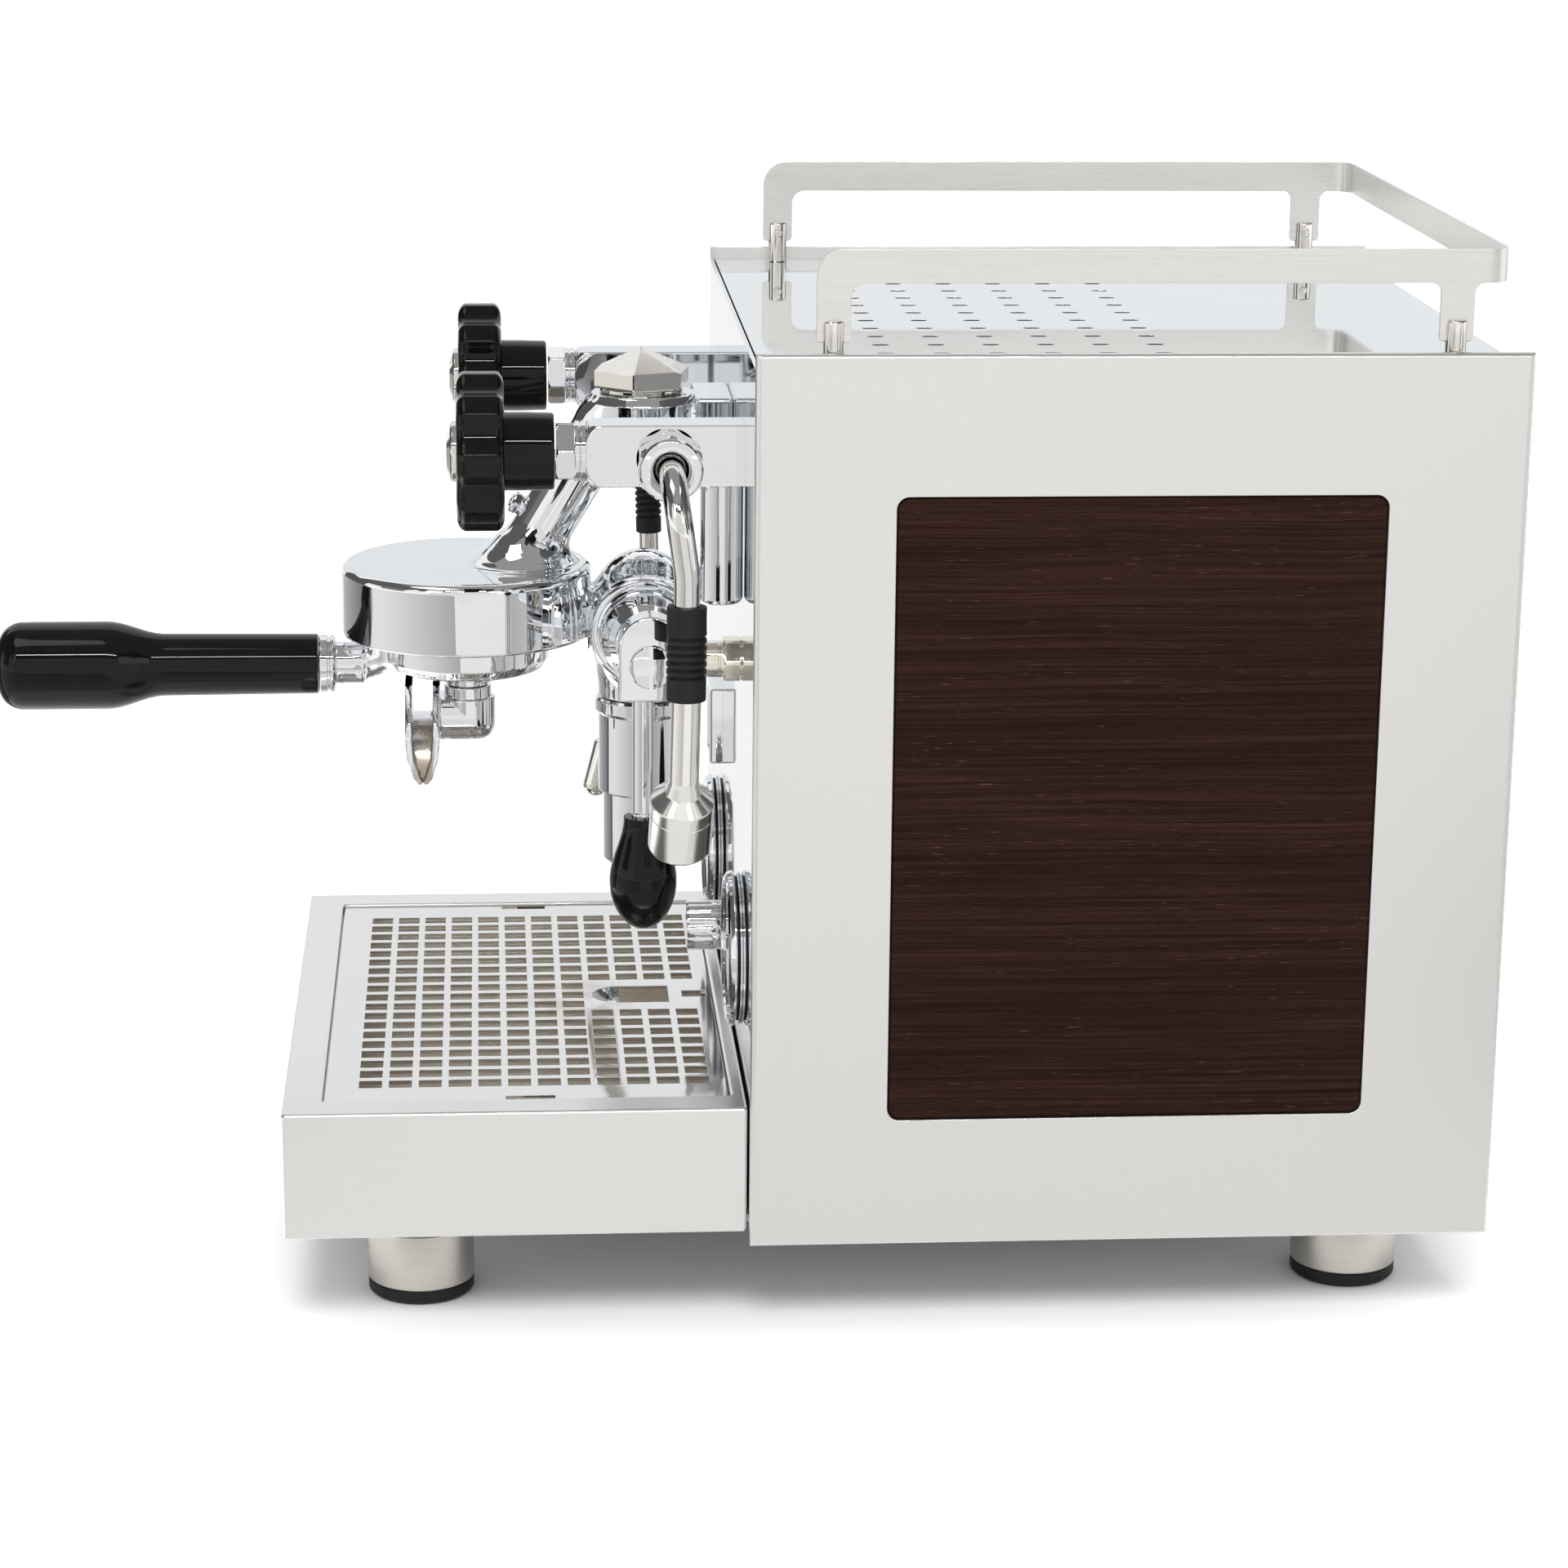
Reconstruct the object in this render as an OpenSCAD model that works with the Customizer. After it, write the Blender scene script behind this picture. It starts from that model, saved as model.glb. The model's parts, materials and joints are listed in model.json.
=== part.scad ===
// Heat-exchanger espresso machine with a lever-operated brew group, two valve
// wands, flat-bar cup rail, wood side inlays and a pull-out drip tray.
// Millimetres. +Z up, -Y towards the user (front), +X the user's right.
// y = 0 in the design is the front panel's face; shift_y moves the whole
// machine so that its bounding box is centred on the origin.

/* [Body] */
// overall width across the side panels
body_w = 290; // [286:1:294]
// depth of the side panels
body_d = 275; // [272:1:279]
// height of the side panels
panel_h = 330; // [328:1:332]
// height of the side panels' lower edge above the table
clearance_z = 35; // [34.5:0.5:35]
// sheet thickness
sheet = 1.5; // [1.2:0.1:1.5]

/* [Wood inlays] */
// inlay opening, front to back
inlay_w = 175; // [150:1:180]
// inlay opening, height
inlay_h = 231; // [200:1:236]
// inlay corner radius
inlay_r = 4.5; // [3:0.5:8]

/* [Feet] */
// foot diameter
foot_d = 40; // [36:1:44]
// rubber pad height
pad_h = 5.6; // [4:0.2:7]

/* [Drip tray] */
// tray length in front of the panel
tray_l = 170; // [168:1:172]
// drip slots, front to back
slot_len = 8.4; // [7:0.1:9.4]
// drip slots, across
slot_wid = 8.2; // [6:0.1:9]

/* [Knobs] */
// star knob diameter
knob_d = 57.8; // [54:0.2:60]
// number of lobes on a star knob
lobes = 8; // [6:1:9]

/* [Cup rail] */
// rail strip height
rail_h = 12; // [10:0.5:14]
// rail strip thickness
rail_t = 1.5; // [1.5:0.5:2.5]

/* [Hidden] */
$fn = 96;
shift_y = 3;
hw = body_w / 2;
zb = clearance_z;
zt = clearance_z + panel_h;
tray_z = zt - 5.4;            // cup tray surface
gy = -33.5;                   // brew group's vertical axis
cz = 238;                     // cam axis height
by = -101.5;                  // bell axis
lip = 235;                    // bell's lower lip
vx = 85;                      // valve axes
vz = 320.6;
bj = [101, -27.5, 317.1];     // ball joint centre
gx = 72; gz = 127.5;          // gauges
fy = [-121, 233]; fx = 90;    // feet
ly = -1;                      // drip tray rear edge
hy = -1;

module put() translate([0, shift_y, 0]) children();
module ycyl(r, y0, y1, r2 = -1) translate([0, y0, 0]) rotate([-90, 0, 0]) rotate([0, 0, 33])
  cylinder(r1 = r, r2 = r2 < 0 ? r : r2, h = y1 - y0);
module xcyl(r, x0, x1, r2 = -1) translate([x0, 0, 0]) rotate([0, 90, 0]) rotate([0, 0, 27])
  cylinder(r1 = r, r2 = r2 < 0 ? r : r2, h = x1 - x0);
module box(a, b) translate(a) cube(b - a);
// rounded rectangle, corners r, from (0,0) to (w,h)
module rrect(w, h, r) union() {
  translate([r, 0]) square([w - 2 * r, h]);
  translate([0, r]) square([w, h - 2 * r]);
  for (x = [r, w - r], y = [r, h - r]) translate([x, y]) circle(r);
}
// straight round bar between two points
module bar(p, q, r) {
  v = q - p; l = norm(v);
  translate(p) rotate([0, acos(v[2] / l), atan2(v[1], v[0])]) rotate([0, 0, 33]) cylinder(r = r, h = l);
}
module path(pts, r, k = 0.05) {
  for (i = [0 : len(pts) - 2]) bar(pts[i], pts[i + 1], r);
  if (len(pts) > 2) for (i = [1 : len(pts) - 2]) translate(pts[i]) sphere(r + k);
}
module mx(s) mirror([s < 0 ? 1 : 0, 0, 0]) children();

// ---------- chassis ----------
module chassis_base() color("silver") put() {
  difference() {
    union() {
      box([-hw + 3.4, 3, zb + 1], [hw - 3.4, body_d - 4, zb + 3.5]);
      box([-120, -160, zb + 0.5], [120, 3.01, zb + 3.5]);
    }
    for (x = [-fx, fx], y = fy) translate([x, y, zb]) cylinder(r = 3.3, h = 10);
    for (y = [60 : 30 : 210]) box([-40, y, zb - 1], [40, y + 8, zb + 6]);
  }
  for (x = [-112, 104]) box([x, -158, zb + 3.5], [x + 8, -4, zb + 4.2]);
}
module inner_frame() color("silver") put() {
  for (x = [-1, 1], y = [6, body_d - 18]) mx(x)
    box([hw - 16, y, zb + 3.5], [hw - 4, y + 12, tray_z - 10.9]);
  for (x = [-1, 1]) mx(x) box([hw - 16, 4, tray_z - 11], [hw - 4, body_d - 5, tray_z - 2]);
  box([-hw + 15, 4, tray_z - 11], [hw - 15, 10, tray_z - 2]);
  box([-hw + 15, body_d - 11, tray_z - 11], [hw - 15, body_d - 5, tray_z - 2]);
  // tank shelf with its leg, and the control box's plate
  box([-hw + 10, 196, 107], [66, body_d - 9, 109.9]);
  box([58, 220, zb + 3.5], [66, 240, 107.1]);
  box([-hw + 5.4, 12, 160], [-hw + 9, 41, 240]);
}
module foot_posts() color("silver") put()
  for (x = [-fx, fx], y = fy) translate([x, y, pad_h]) difference() {
    union() {
      cylinder(r = foot_d / 2, h = 27 - pad_h);
      translate([0, 0, 27 - pad_h]) cylinder(r1 = foot_d / 2, r2 = foot_d / 2 - 1, h = 1);
      cylinder(r = 12, h = zb + (y < 0 ? 0.5 : 1) - pad_h);
      cylinder(r = 3.25, h = zb + 4 - pad_h);
    }
  }
module foot_pads() color("black") put()
  for (x = [-fx, fx], y = fy) translate([x, y, 0]) {
    cylinder(r1 = foot_d / 2 - 1.2, r2 = foot_d / 2 - 0.2, h = 1);
    translate([0, 0, 1]) cylinder(r = foot_d / 2 - 0.2, h = pad_h - 1);
  }
module panel_profile() {
  rr = 2.4;
  // outer sheet with hemmed, rounded edges; x from hw-3 to hw
  translate([hw - 1.5, rr]) square([1.5, body_d - 2 * rr]);
  for (y = [0, body_d - 8]) union() {
      translate([hw - 3, y + (y == 0 ? rr : 0)]) square([3, 8 - rr]);
      translate([hw - 3, y]) square([3 - rr, 8]);
      intersection() {
        translate([hw - rr, y == 0 ? rr : body_d - rr]) circle(rr);
        translate([hw - rr, y == 0 ? 0 : body_d - rr]) square(rr);
      }
  }
}
module side_panel() difference() {
  union() {
    translate([0, 0, zb]) linear_extrude(panel_h) panel_profile();
    box([hw - 3, 7.9, zt - 6], [hw - 1.4, body_d - 7.9, zt]);
    box([hw - 3, 7.9, zb], [hw - 1.4, body_d - 7.9, zb + 6]);
  }
  translate([hw - 10, 50, 83.5]) rotate([90, 0, 90]) linear_extrude(20) rrect(inlay_w, inlay_h, inlay_r);
}
module right_side_panel() color("lightgrey") put() side_panel();
module left_side_panel() color("lightgrey") put() mirror([1, 0, 0]) side_panel();
module inlay() {
  translate([hw - 1.6, 50.7, 84.2]) rotate([90, 0, 90]) linear_extrude(1.2)
    rrect(inlay_w - 1.4, inlay_h - 1.4, inlay_r - 0.7);
  box([hw - 5, 44, 77.5], [hw - 1.55, 56 + inlay_w, 89.5 + inlay_h]);
}
module right_wood_inlay() color("saddlebrown") put() inlay();
module left_wood_inlay() color("saddlebrown") put() mirror([1, 0, 0]) inlay();
module front_panel() color("silver") put() difference() {
  box([-hw + 3, 0, 40.2], [hw - 3, sheet, tray_z - 0.3]);
  translate([0, 0, 310]) ycyl(9, -1, 3);
  translate([0, 0, 223]) ycyl(6.5, -1, 3);
  for (x = [-vx, vx]) translate([x, 0, vz]) ycyl(8.3, -1, 3);
  for (x = [-gx, gx]) translate([x, 0, gz]) ycyl(26, -1, 3);
  translate([25, 0, 122.5]) ycyl(4.6, -1, 3);
  translate([72, 0, 240]) ycyl(5, -1, 3);
  box([-52, -1, 175.5], [-38, 3, 199]);
}
module rear_panel() color("silver") put() difference() {
  box([-hw + 3.3, body_d - 3.5, 40.2], [hw - 3.3, body_d - 3.5 + sheet, tray_z - 2.3]);
  box([-114, body_d - 8, 58], [-86, body_d, 78]);
  for (x = [20 : 14 : 110], z = [60, 84]) translate([x, 0, z]) {
    ycyl(2.2, body_d - 8, body_d); translate([0, 0, 12]) ycyl(2.2, body_d - 8, body_d);
    box([-2.2, body_d - 8, 0], [2.2, body_d, 12]);
  }
}
// ---------- internals ----------
module water_tank() color("lightblue", 0.5) put() difference() {
  union() {
    box([-120, 196, 110], [60, 262, 336]);
    box([-124, 192, 333.5], [64, 266, 336]);
  }
  box([-117.5, 198.5, 112.5], [57.5, 259.5, 340]);
}
bc = [0, 0, 266.5];
module boiler() color("peru") put() translate(bc) {
  // shell with end plates and flanges
  difference() {
    union() {
      ycyl(58, 36.5, 187.5);
      for (y = [36, 184]) ycyl(66, y, y + 4);
      for (a = [22.5 : 45 : 360]) rotate([0, a, 0]) translate([61, 0, 0]) { ycyl(3.6, 33, 36.1); ycyl(3.6, 187.9, 191); }
    }
    ycyl(56, 40, 184);
    for (z = [-43.5, 43.5]) translate([0, 0, z]) ycyl(4.95, 30, 42);
    for (x = [-44, 44]) translate([x, 0, 14]) ycyl(4, 30, 42);
    for (x = [-14, 14]) translate([x, 0, -12]) ycyl(4.2, 180, 192);
    translate([-24, 70, 50]) cylinder(r = 5, h = 20);
  }
  // cradle under it
  for (y = [60, 150]) {
    box([-50, y, -62], [50, y + 12, -58.05]);
    for (x = [-50, 46]) box([x, y, zb + 3.5 - 266.5], [x + 4, y + 12, -61.9]);
  }
  // exchanger tube between the two feed pipes
  difference() {
    translate([0, 60, -52]) cylinder(r = 8.2, h = 104);
    translate([0, 60, -49]) cylinder(r = 6, h = 98);
    for (z = [-43.5, 43.5]) translate([0, 0, z]) ycyl(4.9, 45, 60);
  }
}
module heating_element() color("dimgray") put() translate(bc) translate([0, 0, -12]) {
  for (x = [-14, 14]) translate([x, 0, 0]) ycyl(4.08, 94.5, 191.5);
  translate([0, 95, 0]) rotate([0, 0, 180]) rotate_extrude(angle = 180) translate([14, 0]) circle(4, $fn = 48);
}
module inner_pipes() color("peru") put() {
  for (z = [223, 310]) translate([0, 0, z]) difference() {
    union() { ycyl(4.85, 2, 53.5); ycyl(9, 22, 32.5); }
    ycyl(3.5, 0, 62);
  }
  for (s = [-1, 1]) mx(s)
    path([[vx, 13.1, vz], [vx, 22, vz], [44, 26, 280.5], [44, 45, 280.5]], 3.8, 1.6);
}
module pump() color("dimgray") put() {
  box([-128, 90, 60], [-84, 130, 104]);
  translate([-106, 0, 82]) { ycyl(12, 130, 158); ycyl(6, 158, 176); ycyl(8, 70, 90); }
  box([-124, 96, 38.5], [-88, 124, 41]);
  for (y = [102, 118]) translate([-106, y, 41]) cylinder(r = 7, h = 19.1);
}
module control_box() color("dimgray") put() { box([-hw + 9.05, 20, 150], [-100, 100, 250]);
  for (z = [160 : 12 : 232]) box([-100.01, 34, z], [-96, 90, z + 6]); }
module safety_valve() color("gold") put() translate([-24, 70, 0]) {
  translate([0, 0, 318]) cylinder(r = 4.9, h = 8);
  translate([0, 0, 325.9]) cylinder(r = 9.5, h = 8, $fn = 6);
  translate([0, 0, 333.8]) cylinder(r = 6, h = 9);
}
module power_inlet() color("black") put() difference() {
  union() { box([-113.6, 252, 58.4], [-86.4, body_d - 1.9, 77.6]); box([-118, body_d - 2, 55], [-82, body_d, 81]); }
  box([-111, 258, 60.5], [-89, body_d + 1, 75.5]);
}
// ---------- brew group ----------
module group_body() color("silver") put() difference() {
  union() {
    // upper collar, arm to the panel and neck down to the bell
    translate([0, gy, 0]) rotate_extrude() polygon([[0, 296], [17, 296], [21.3, 310], [21.3, 325.6], [19.6, 328.4], [0, 328.4]]);
    translate([0, 0, 310]) ycyl(14.5, gy + 1, -1);
    box([-19.5, -14.3, 294], [19.5, 0, 328.6]);
    intersection() {
      bar([0, -38.4, 331.6], [0, -86.4, 252], 11.4);
      box([-20, -120, 250], [20, -20, 323]);
    }
    translate([0, -80.6, 261.5]) cylinder(r1 = 21, r2 = 12, h = 7);
    // bell
    translate([0, by, lip]) rotate_extrude() union() {
      square([48, 22.5]);
      square([43, 27.5]);
      translate([43, 22.5]) circle(5);
    }
    // link, lower body and cam boss
    box([-12, -66, lip + 2], [12, -40, lip + 15.5]);
    translate([0, gy, 209]) rotate_extrude() union() {
      square([19.3, 38.5]);
      translate([0, 38.5]) intersection() { circle(19.3); square(20); }
    }
    translate([0, gy, cz]) xcyl(20.8, 0, 20);
    translate([0, 0, 223]) ycyl(7.2, gy, 0);
  }
  // bell cavity, bayonet groove and the two entry notches
  translate([0, by, lip - 1]) cylinder(r = 36.8, h = 18.2);
  translate([0, by, lip + 5.3]) cylinder(r = 42.4, h = 6.5);
  for (a = [-50, 130]) translate([0, by, lip - 1]) rotate([0, 0, a - 22])
    rotate_extrude(angle = 44) translate([30, 0]) square([12.3, 6.6]);
  // cam chamber and the two valve bores
  translate([0, gy, cz]) xcyl(11, -12, 21);
  translate([0, gy, 200]) cylinder(r = 5, h = 61);
  translate([0, gy, 200]) cylinder(r = 15.2, h = 17);
  translate([0, 0, 310]) ycyl(4.5, gy, 1);
  translate([0, 0, 223]) ycyl(3.5, gy + 9, 1);
  translate([0, gy, 300]) cylinder(r = 12, h = 30);
  translate([0, -70.6, 278.2]) rotate([58.9, 0, 0]) translate([0, 0, 7]) cylinder(r = 3.25, h = 8);
}
module group_cap_nut() color("silver") put() translate([0, gy - 0.6, 0]) {
  translate([0, 0.6, 306]) cylinder(r = 11.9, h = 23);
  translate([0, 0, 328.45]) cylinder(r = 16, h = 2.2);
  translate([0, 0, 330.5]) rotate([0, 0, -11]) cylinder(r1 = 18.4, r2 = 19.3, h = 1.2, $fn = 6);
  translate([0, 0, 331.5]) rotate([0, 0, -11]) cylinder(r = 19.4, h = 5.5, $fn = 6);
  translate([0, 0, 336.95]) rotate([0, 0, -11]) cylinder(r1 = 19.3, r2 = 1, h = 8.55, $fn = 6);
}
module group_plug() color("silver") put() translate([0, -70.6, 278.2]) rotate([58.9, 0, 0]) {
  translate([0, 0, 8]) cylinder(r = 3.2, h = 4.5);
  translate([0, 0, 12.4]) cylinder(r = 4.6, h = 4.2, $fn = 6);
}
module group_gasket() color("black") put() translate([0, by, lip + 12.2]) difference() {
  cylinder(r = 36.7, h = 4.9); translate([0, 0, -1]) cylinder(r = 28.9, h = 9);
}
module shower_screen() color("silver") put() translate([0, by, 0]) {
  translate([0, 0, lip + 13]) cylinder(r = 28.5, h = 2.2);
  translate([0, 0, lip + 15]) cylinder(r = 10, h = 2.1);
}
module exhaust_tube() color("silver") put() translate([0, gy, 0]) difference() {
  union() {
    translate([0, 0, 203]) cylinder(r = 18.6, h = 6);
    translate([0, 0, 200]) cylinder(r = 15, h = 16.8);
    translate([0, 0, 171.5]) cylinder(r = 17.4, h = 31.6);
    translate([0, 0, 144]) cylinder(r = 15.6, h = 27.6);
    translate([0, 0, 141]) cylinder(r1 = 12.6, r2 = 15.6, h = 3.01);
  }
  translate([0, 0, 130]) cylinder(r = 11, h = 76);
  translate([0, 0, 200]) cylinder(r = 4.98, h = 20);
}
module cam_nut() color("silver") put() translate([0, gy, cz]) difference() {
  union() {
    xcyl(10.95, 11, 20.1); xcyl(18.6, 20.05, 22.5);
    xcyl(17.2, 22.4, 32); xcyl(17.2, 31.99, 40, 12); xcyl(11, 39.9, 48);
  }
  xcyl(5.06, 5, 60);
}
// ---------- valves and wands ----------
module valve_bodies() color("silver") put() for (s = [-1, 1]) mx(s) difference() {
  union() {
    intersection() {
      box([vx - 9, -57.6, 308.6], [vx + 9, 0, 331.4]);
      translate([vx, 0, 320]) union() { ycyl(9.6, -57.6, -52, 14.3); ycyl(14.3, -52.01, 0); }
    }
    translate([vx, 0, vz]) ycyl(7.5, -1, 13);
  }
  translate([vx, 0, vz]) ycyl(4.5, -60, -8);
  translate([vx, 0, vz]) ycyl(2.5, -10, 14);
  translate([0, bj[1], bj[2]]) xcyl(4, vx, vx + 10);
}
module valve_bonnets() color("silver") put() for (s = [-1, 1]) mx(s) translate([vx, 0, vz]) difference() {
  union() {
    rotate([0, s > 0 ? -8 : -14, 0]) translate([0, -68.4, 0]) rotate([-90, 0, 0]) cylinder(r = 11.6, h = 7, $fn = 6);
    ycyl(11, -61.5, -57.65);
    ycyl(4.45, -57.7, -48);
  }
  ycyl(3.06, -70, -40);
}
module wand_nuts() color("silver") put() for (s = [-1, 1]) mx(s) translate(bj) difference() {
  union() {
    rotate([0, 90, 0]) rotate([0, 0, s > 0 ? -2.5 : 30]) translate([0, 0, -7]) cylinder(r = 12.8, h = 11.5, $fn = 6);
    xcyl(11.6, 4.4, 7, 10.6);
  }
  rotate([0, 90, 0]) rotate([0, 0, 33]) rotate_extrude() polygon([[0, -8], [6.9, -8], [6.9, 3], [6.1, 4], [6.1, 5], [7.1, 7.1], [0, 7.1]]);
}
module hot_water_sleeve() color("silver") put() translate([vx, -8.1, 0]) {
  translate([0, 0, 264.4]) cylinder(r1 = 7.2, r2 = 7.9, h = 1);
  translate([0, 0, 265.4]) cylinder(r = 7.9, h = 43.15);
}
module service_fitting() color("khaki") put() translate([72, 0, 240]) {
  translate([0, -6.7, 0]) rotate([-90, 0, 0]) cylinder(r = 8.8, h = 6.7, $fn = 6);
  ycyl(6.2, -13.9, -6.65); ycyl(4.9, -0.1, 10);
}
module display_bezel() color("silver") put() {
  difference() {
    box([-56, -5.2, 171.7], [-34, 0, 202.5]);
    box([-53, -6, 174.7], [-37, -3, 199.5]);
  }
  box([-51.6, -0.1, 175.9], [-38.4, 14, 198.6]);
}
module gauge_bezels() color("silver") put() for (x = [-gx, gx]) translate([x, 0, gz]) difference() {
  union() { ycyl(28.6, -1.2, 0); ycyl(29.5, -2.6, -1.2); ycyl(27.6, -5.4, -2.59, 29.5); }
  ycyl(25.2, -6, 1);
}
module gauge_cases() color("dimgray") put() for (x = [-gx, gx]) translate([x, 0, gz]) difference() {
  ycyl(25.1, -3.2, 20);
  ycyl(24, -4, -1.2);
  ycyl(1.15, -3.3, 3);
}
module gauge_lenses() color("white", 0.4) put() for (x = [-gx, gx]) translate([x, 0, gz]) ycyl(25.1, -4.3, -3.25);
module needle() difference() {
  union() {
    box([-0.7, -2.7, -5], [0.7, -2.2, 19]);
    ycyl(2.2, -2.9, -1.9);
    ycyl(0.75, -1.95, 2.4);
  }
}
module boiler_needle() color("black") put() translate([-gx, 0, gz]) rotate([0, -135, 0]) needle();
module pump_needle() color("black") put() translate([gx, 0, gz]) rotate([0, -135, 0]) needle();
module power_knob() color("silver") put() translate([25, 0, 122.5]) {
  ycyl(8.8, -17.6, -16.6, 9.8); ycyl(9.8, -16.6, -0.4); ycyl(4.2, -0.5, 8);
}
// ---------- top ----------
module cup_tray() color("gainsboro") put() translate([0, 0, tray_z - 1.5]) linear_extrude(1.5) difference() {
  translate([-hw + 3.4, 2]) square([2 * hw - 6.8, body_d - 5.4]);
  for (i = [0 : 5], j = [0 : 11]) translate([(j - 5.5) * 19.63, 46 + 20 * i]) union() {
    translate([-1.6, 1.3]) square([3.2, 3]);
    translate([0, 1.3]) circle(1.6, $fn = 24);
    translate([0, 4.3]) circle(1.6, $fn = 24);
  }
}
rt = tray_z + 41;            // rail top
rx = hw - 7.2;               // rail outer face
module rail_side() {
  // flat strip in the YZ plane with a rounded front leg and a rear T-leg
  union() {
    translate([21.5 + 10, rt - rail_h]) square([226, rail_h]);
    translate([21.5 + 10, rt - 10]) circle(10);
    translate([21.5, rt - 32.6]) square([12, 22.6]);
    translate([21.5 + 10, rt - rail_h - 4]) square([2, 6]);
    difference() {
      translate([33.4, rt - rail_h - 5]) square([5.1, 5.1]);
      translate([38.5, rt - rail_h - 5]) circle(5);
    }
    translate([241.4, rt - 32.6]) square([12.2, 21]);
    for (s = [-1, 1]) difference() {
      translate([s < 0 ? 237.9 : 253.5, rt - rail_h - 3.5]) square([3.6, 3.6]);
      translate([s < 0 ? 237.9 : 257.1, rt - rail_h - 3.5]) circle(3.5);
    }
  }
}
module cup_rail() color("gainsboro") put() {
  for (s = [-1, 1]) mx(s) translate([rx - rail_t, 0, 0]) rotate([90, 0, 90]) linear_extrude(rail_t) rail_side();
  translate([0, 0, rt - rail_h]) linear_extrude(rail_h) union() {
    translate([-rx + 9, 266.5 - rail_t]) square([2 * rx - 18, rail_t]);
    for (s = [0, 1]) mirror([s, 0]) translate([rx - 9, 257.5]) intersection() {
      difference() { circle(9); circle(9 - rail_t); }
      square([9, 9]);
    }
  }
}
module rail_posts() color("silver") put() for (s = [-1, 1], y = [27.5, 247.5]) mx(s) translate([rx - rail_t / 2, y, 0]) difference() {
  union() {
    translate([0, 0, tray_z]) cylinder(r = 3.7, h = 15.4);
    translate([0, 0, tray_z + 15.39]) cylinder(r1 = 3.7, r2 = 3, h = 0.8);
    translate([0, 0, tray_z + 12]) xcyl(1.7, -4.4, -rail_t / 2 - 0.03);
  }
  translate([-rail_t / 2 - 0.02, -5, tray_z + 8.3]) cube([rail_t + 0.04, 10, 10]);
}
// ---------- drip tray ----------
module drip_box() color("gainsboro") put() difference() {
  box([-140.5, -tray_l, 39.6], [140.5, ly, 87.5]);
  box([-139, -tray_l + 1.5, 38], [139, ly - 1.5, 86]);
  box([-125.5, -155.7, 80], [125.5, ly - 5, 90]);
}
module drip_basin() color("silver") put() difference() {
  union() {
    box([-123, -153.5, 41], [123, -9, 84.3]);
    box([-134, -164, 82.9], [134, -3.5, 84.3]);
    for (x = [-118, 108], y = [-148, -24]) box([x, y, 39.6], [x + 10, y + 10, 41.1]);
    for (x = [-134, 126], y = [-164, -90, -14]) box([x, y, 84.2], [x + 8, y + 8, 86]);
  }
  box([-122, -152.5, 42], [122, -10, 90]);
}
module drip_grate() color("gainsboro") put() translate([0, 0, 84.6]) linear_extrude(1.8) difference() {
  translate([-124.8, -155]) square([249.6, 149.4 + ly]);
  for (i = [0 : 11], j = [0 : 18]) if (!(i > 7 && j > 7 && j < 11))
    translate([(j - 9) * 11.6 - slot_wid / 2, -142.8 + i * 11.05]) square([slot_wid, slot_len]);
  translate([0, -43]) circle(10.5);
  translate([-10.5, -43]) square([21, 19.6]);
  translate([-4, -18]) square([8, 9.4]);
  for (x = [-126, 119.4]) translate([x, -88.5]) square([6.6, 18]);
}
// ---------- brew lever ----------
lx = 70;
module brew_lever() color("silver") put() difference() {
  union() {
    translate([0, gy, cz]) { xcyl(5, -8.5, 70); translate([0, -1.5, 0]) xcyl(6.5, -6, 6); }
    // hub block, round on top, and the rod
    translate([64, gy, cz]) rotate([90, 0, 90]) linear_extrude(13) union() {
      translate([-11.8, -13.4]) square([23.6, 20.4]);
      translate([0, 7]) circle(11.8);
    }
    translate([lx, gy - 2.6, 170]) cylinder(r = 4, h = 60);
  }
  translate([0, gy, cz]) xcyl(3.05, 60, 78);
}
module lever_knob() color("black") put() translate([lx, gy - 2.6, 135.3]) difference() {
  rotate_extrude() polygon(concat([[0, 0]],
    [for (i = [1 : 24]) let (t = i / 24, z = 43.7 * (1 - cos(180 * t)) / 2)
       [z < 19 ? 12.7 * sqrt(1 - pow((19 - z) / 19, 2)) : 7.3 + 5.4 * (1 + cos(180 * (z - 19) / 24.7)) / 2, z]],
    [[0, 43.7]]));
  translate([0, 0, 20]) cylinder(r = 4.06, h = 30);
}
module lever_screw() color("silver") put() translate([0, gy, cz]) difference() {
  union() {
    xcyl(3, 64, 77.1); xcyl(8.1, 77.02, 78); 
    translate([77.9, 0, 0]) rotate([0, 90, 0]) cylinder(r1 = 8.1, r2 = 5, h = 1.7);
  }
  box([78.6, -10, -0.7], [81, 10, 0.7]);
}
module brew_valve() color("silver") put() translate([0, gy, 245.1]) cylinder(r = 4.5, h = 13);
module drain_valve() color("silver") put() translate([0, gy, 218]) cylinder(r = 4.5, h = 13);
// ---------- portafilter ----------
module portafilter() color("silver") put() translate([0, by, 0]) difference() {
  union() {
    rotate_extrude() polygon([[0, 220], [25, 220], [29.5, 221.6], [31.5, 225], [31.5, 236.5], [36.2, 239], [36.2, 246], [0, 246]]);
    for (a = [0, 180]) rotate([0, 0, a - 17]) translate([0, 0, 240.7]) rotate_extrude(angle = 34) square([41.9, 5.3]);
    // neck to the handle
    translate([0, 0, 222.3]) ycyl(8.3, -50.7, -38, 8.0);
    translate([0, 0, 222.3]) ycyl(8.0, -38.01, -28, 6.6);
    translate([0, 0, 222.3]) ycyl(4, -110, -50);
    translate([0, 0, 222.3]) ycyl(11.4, -57.1, -50.69);
    // spout boss
    translate([0, 0, 213.9]) cylinder(r = 8.2, h = 7);
  }
  translate([0, 0, 223]) cylinder(r = 29.5, h = 30);
  translate([0, 0, 200]) cylinder(r = 5, h = 30);
}
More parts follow.
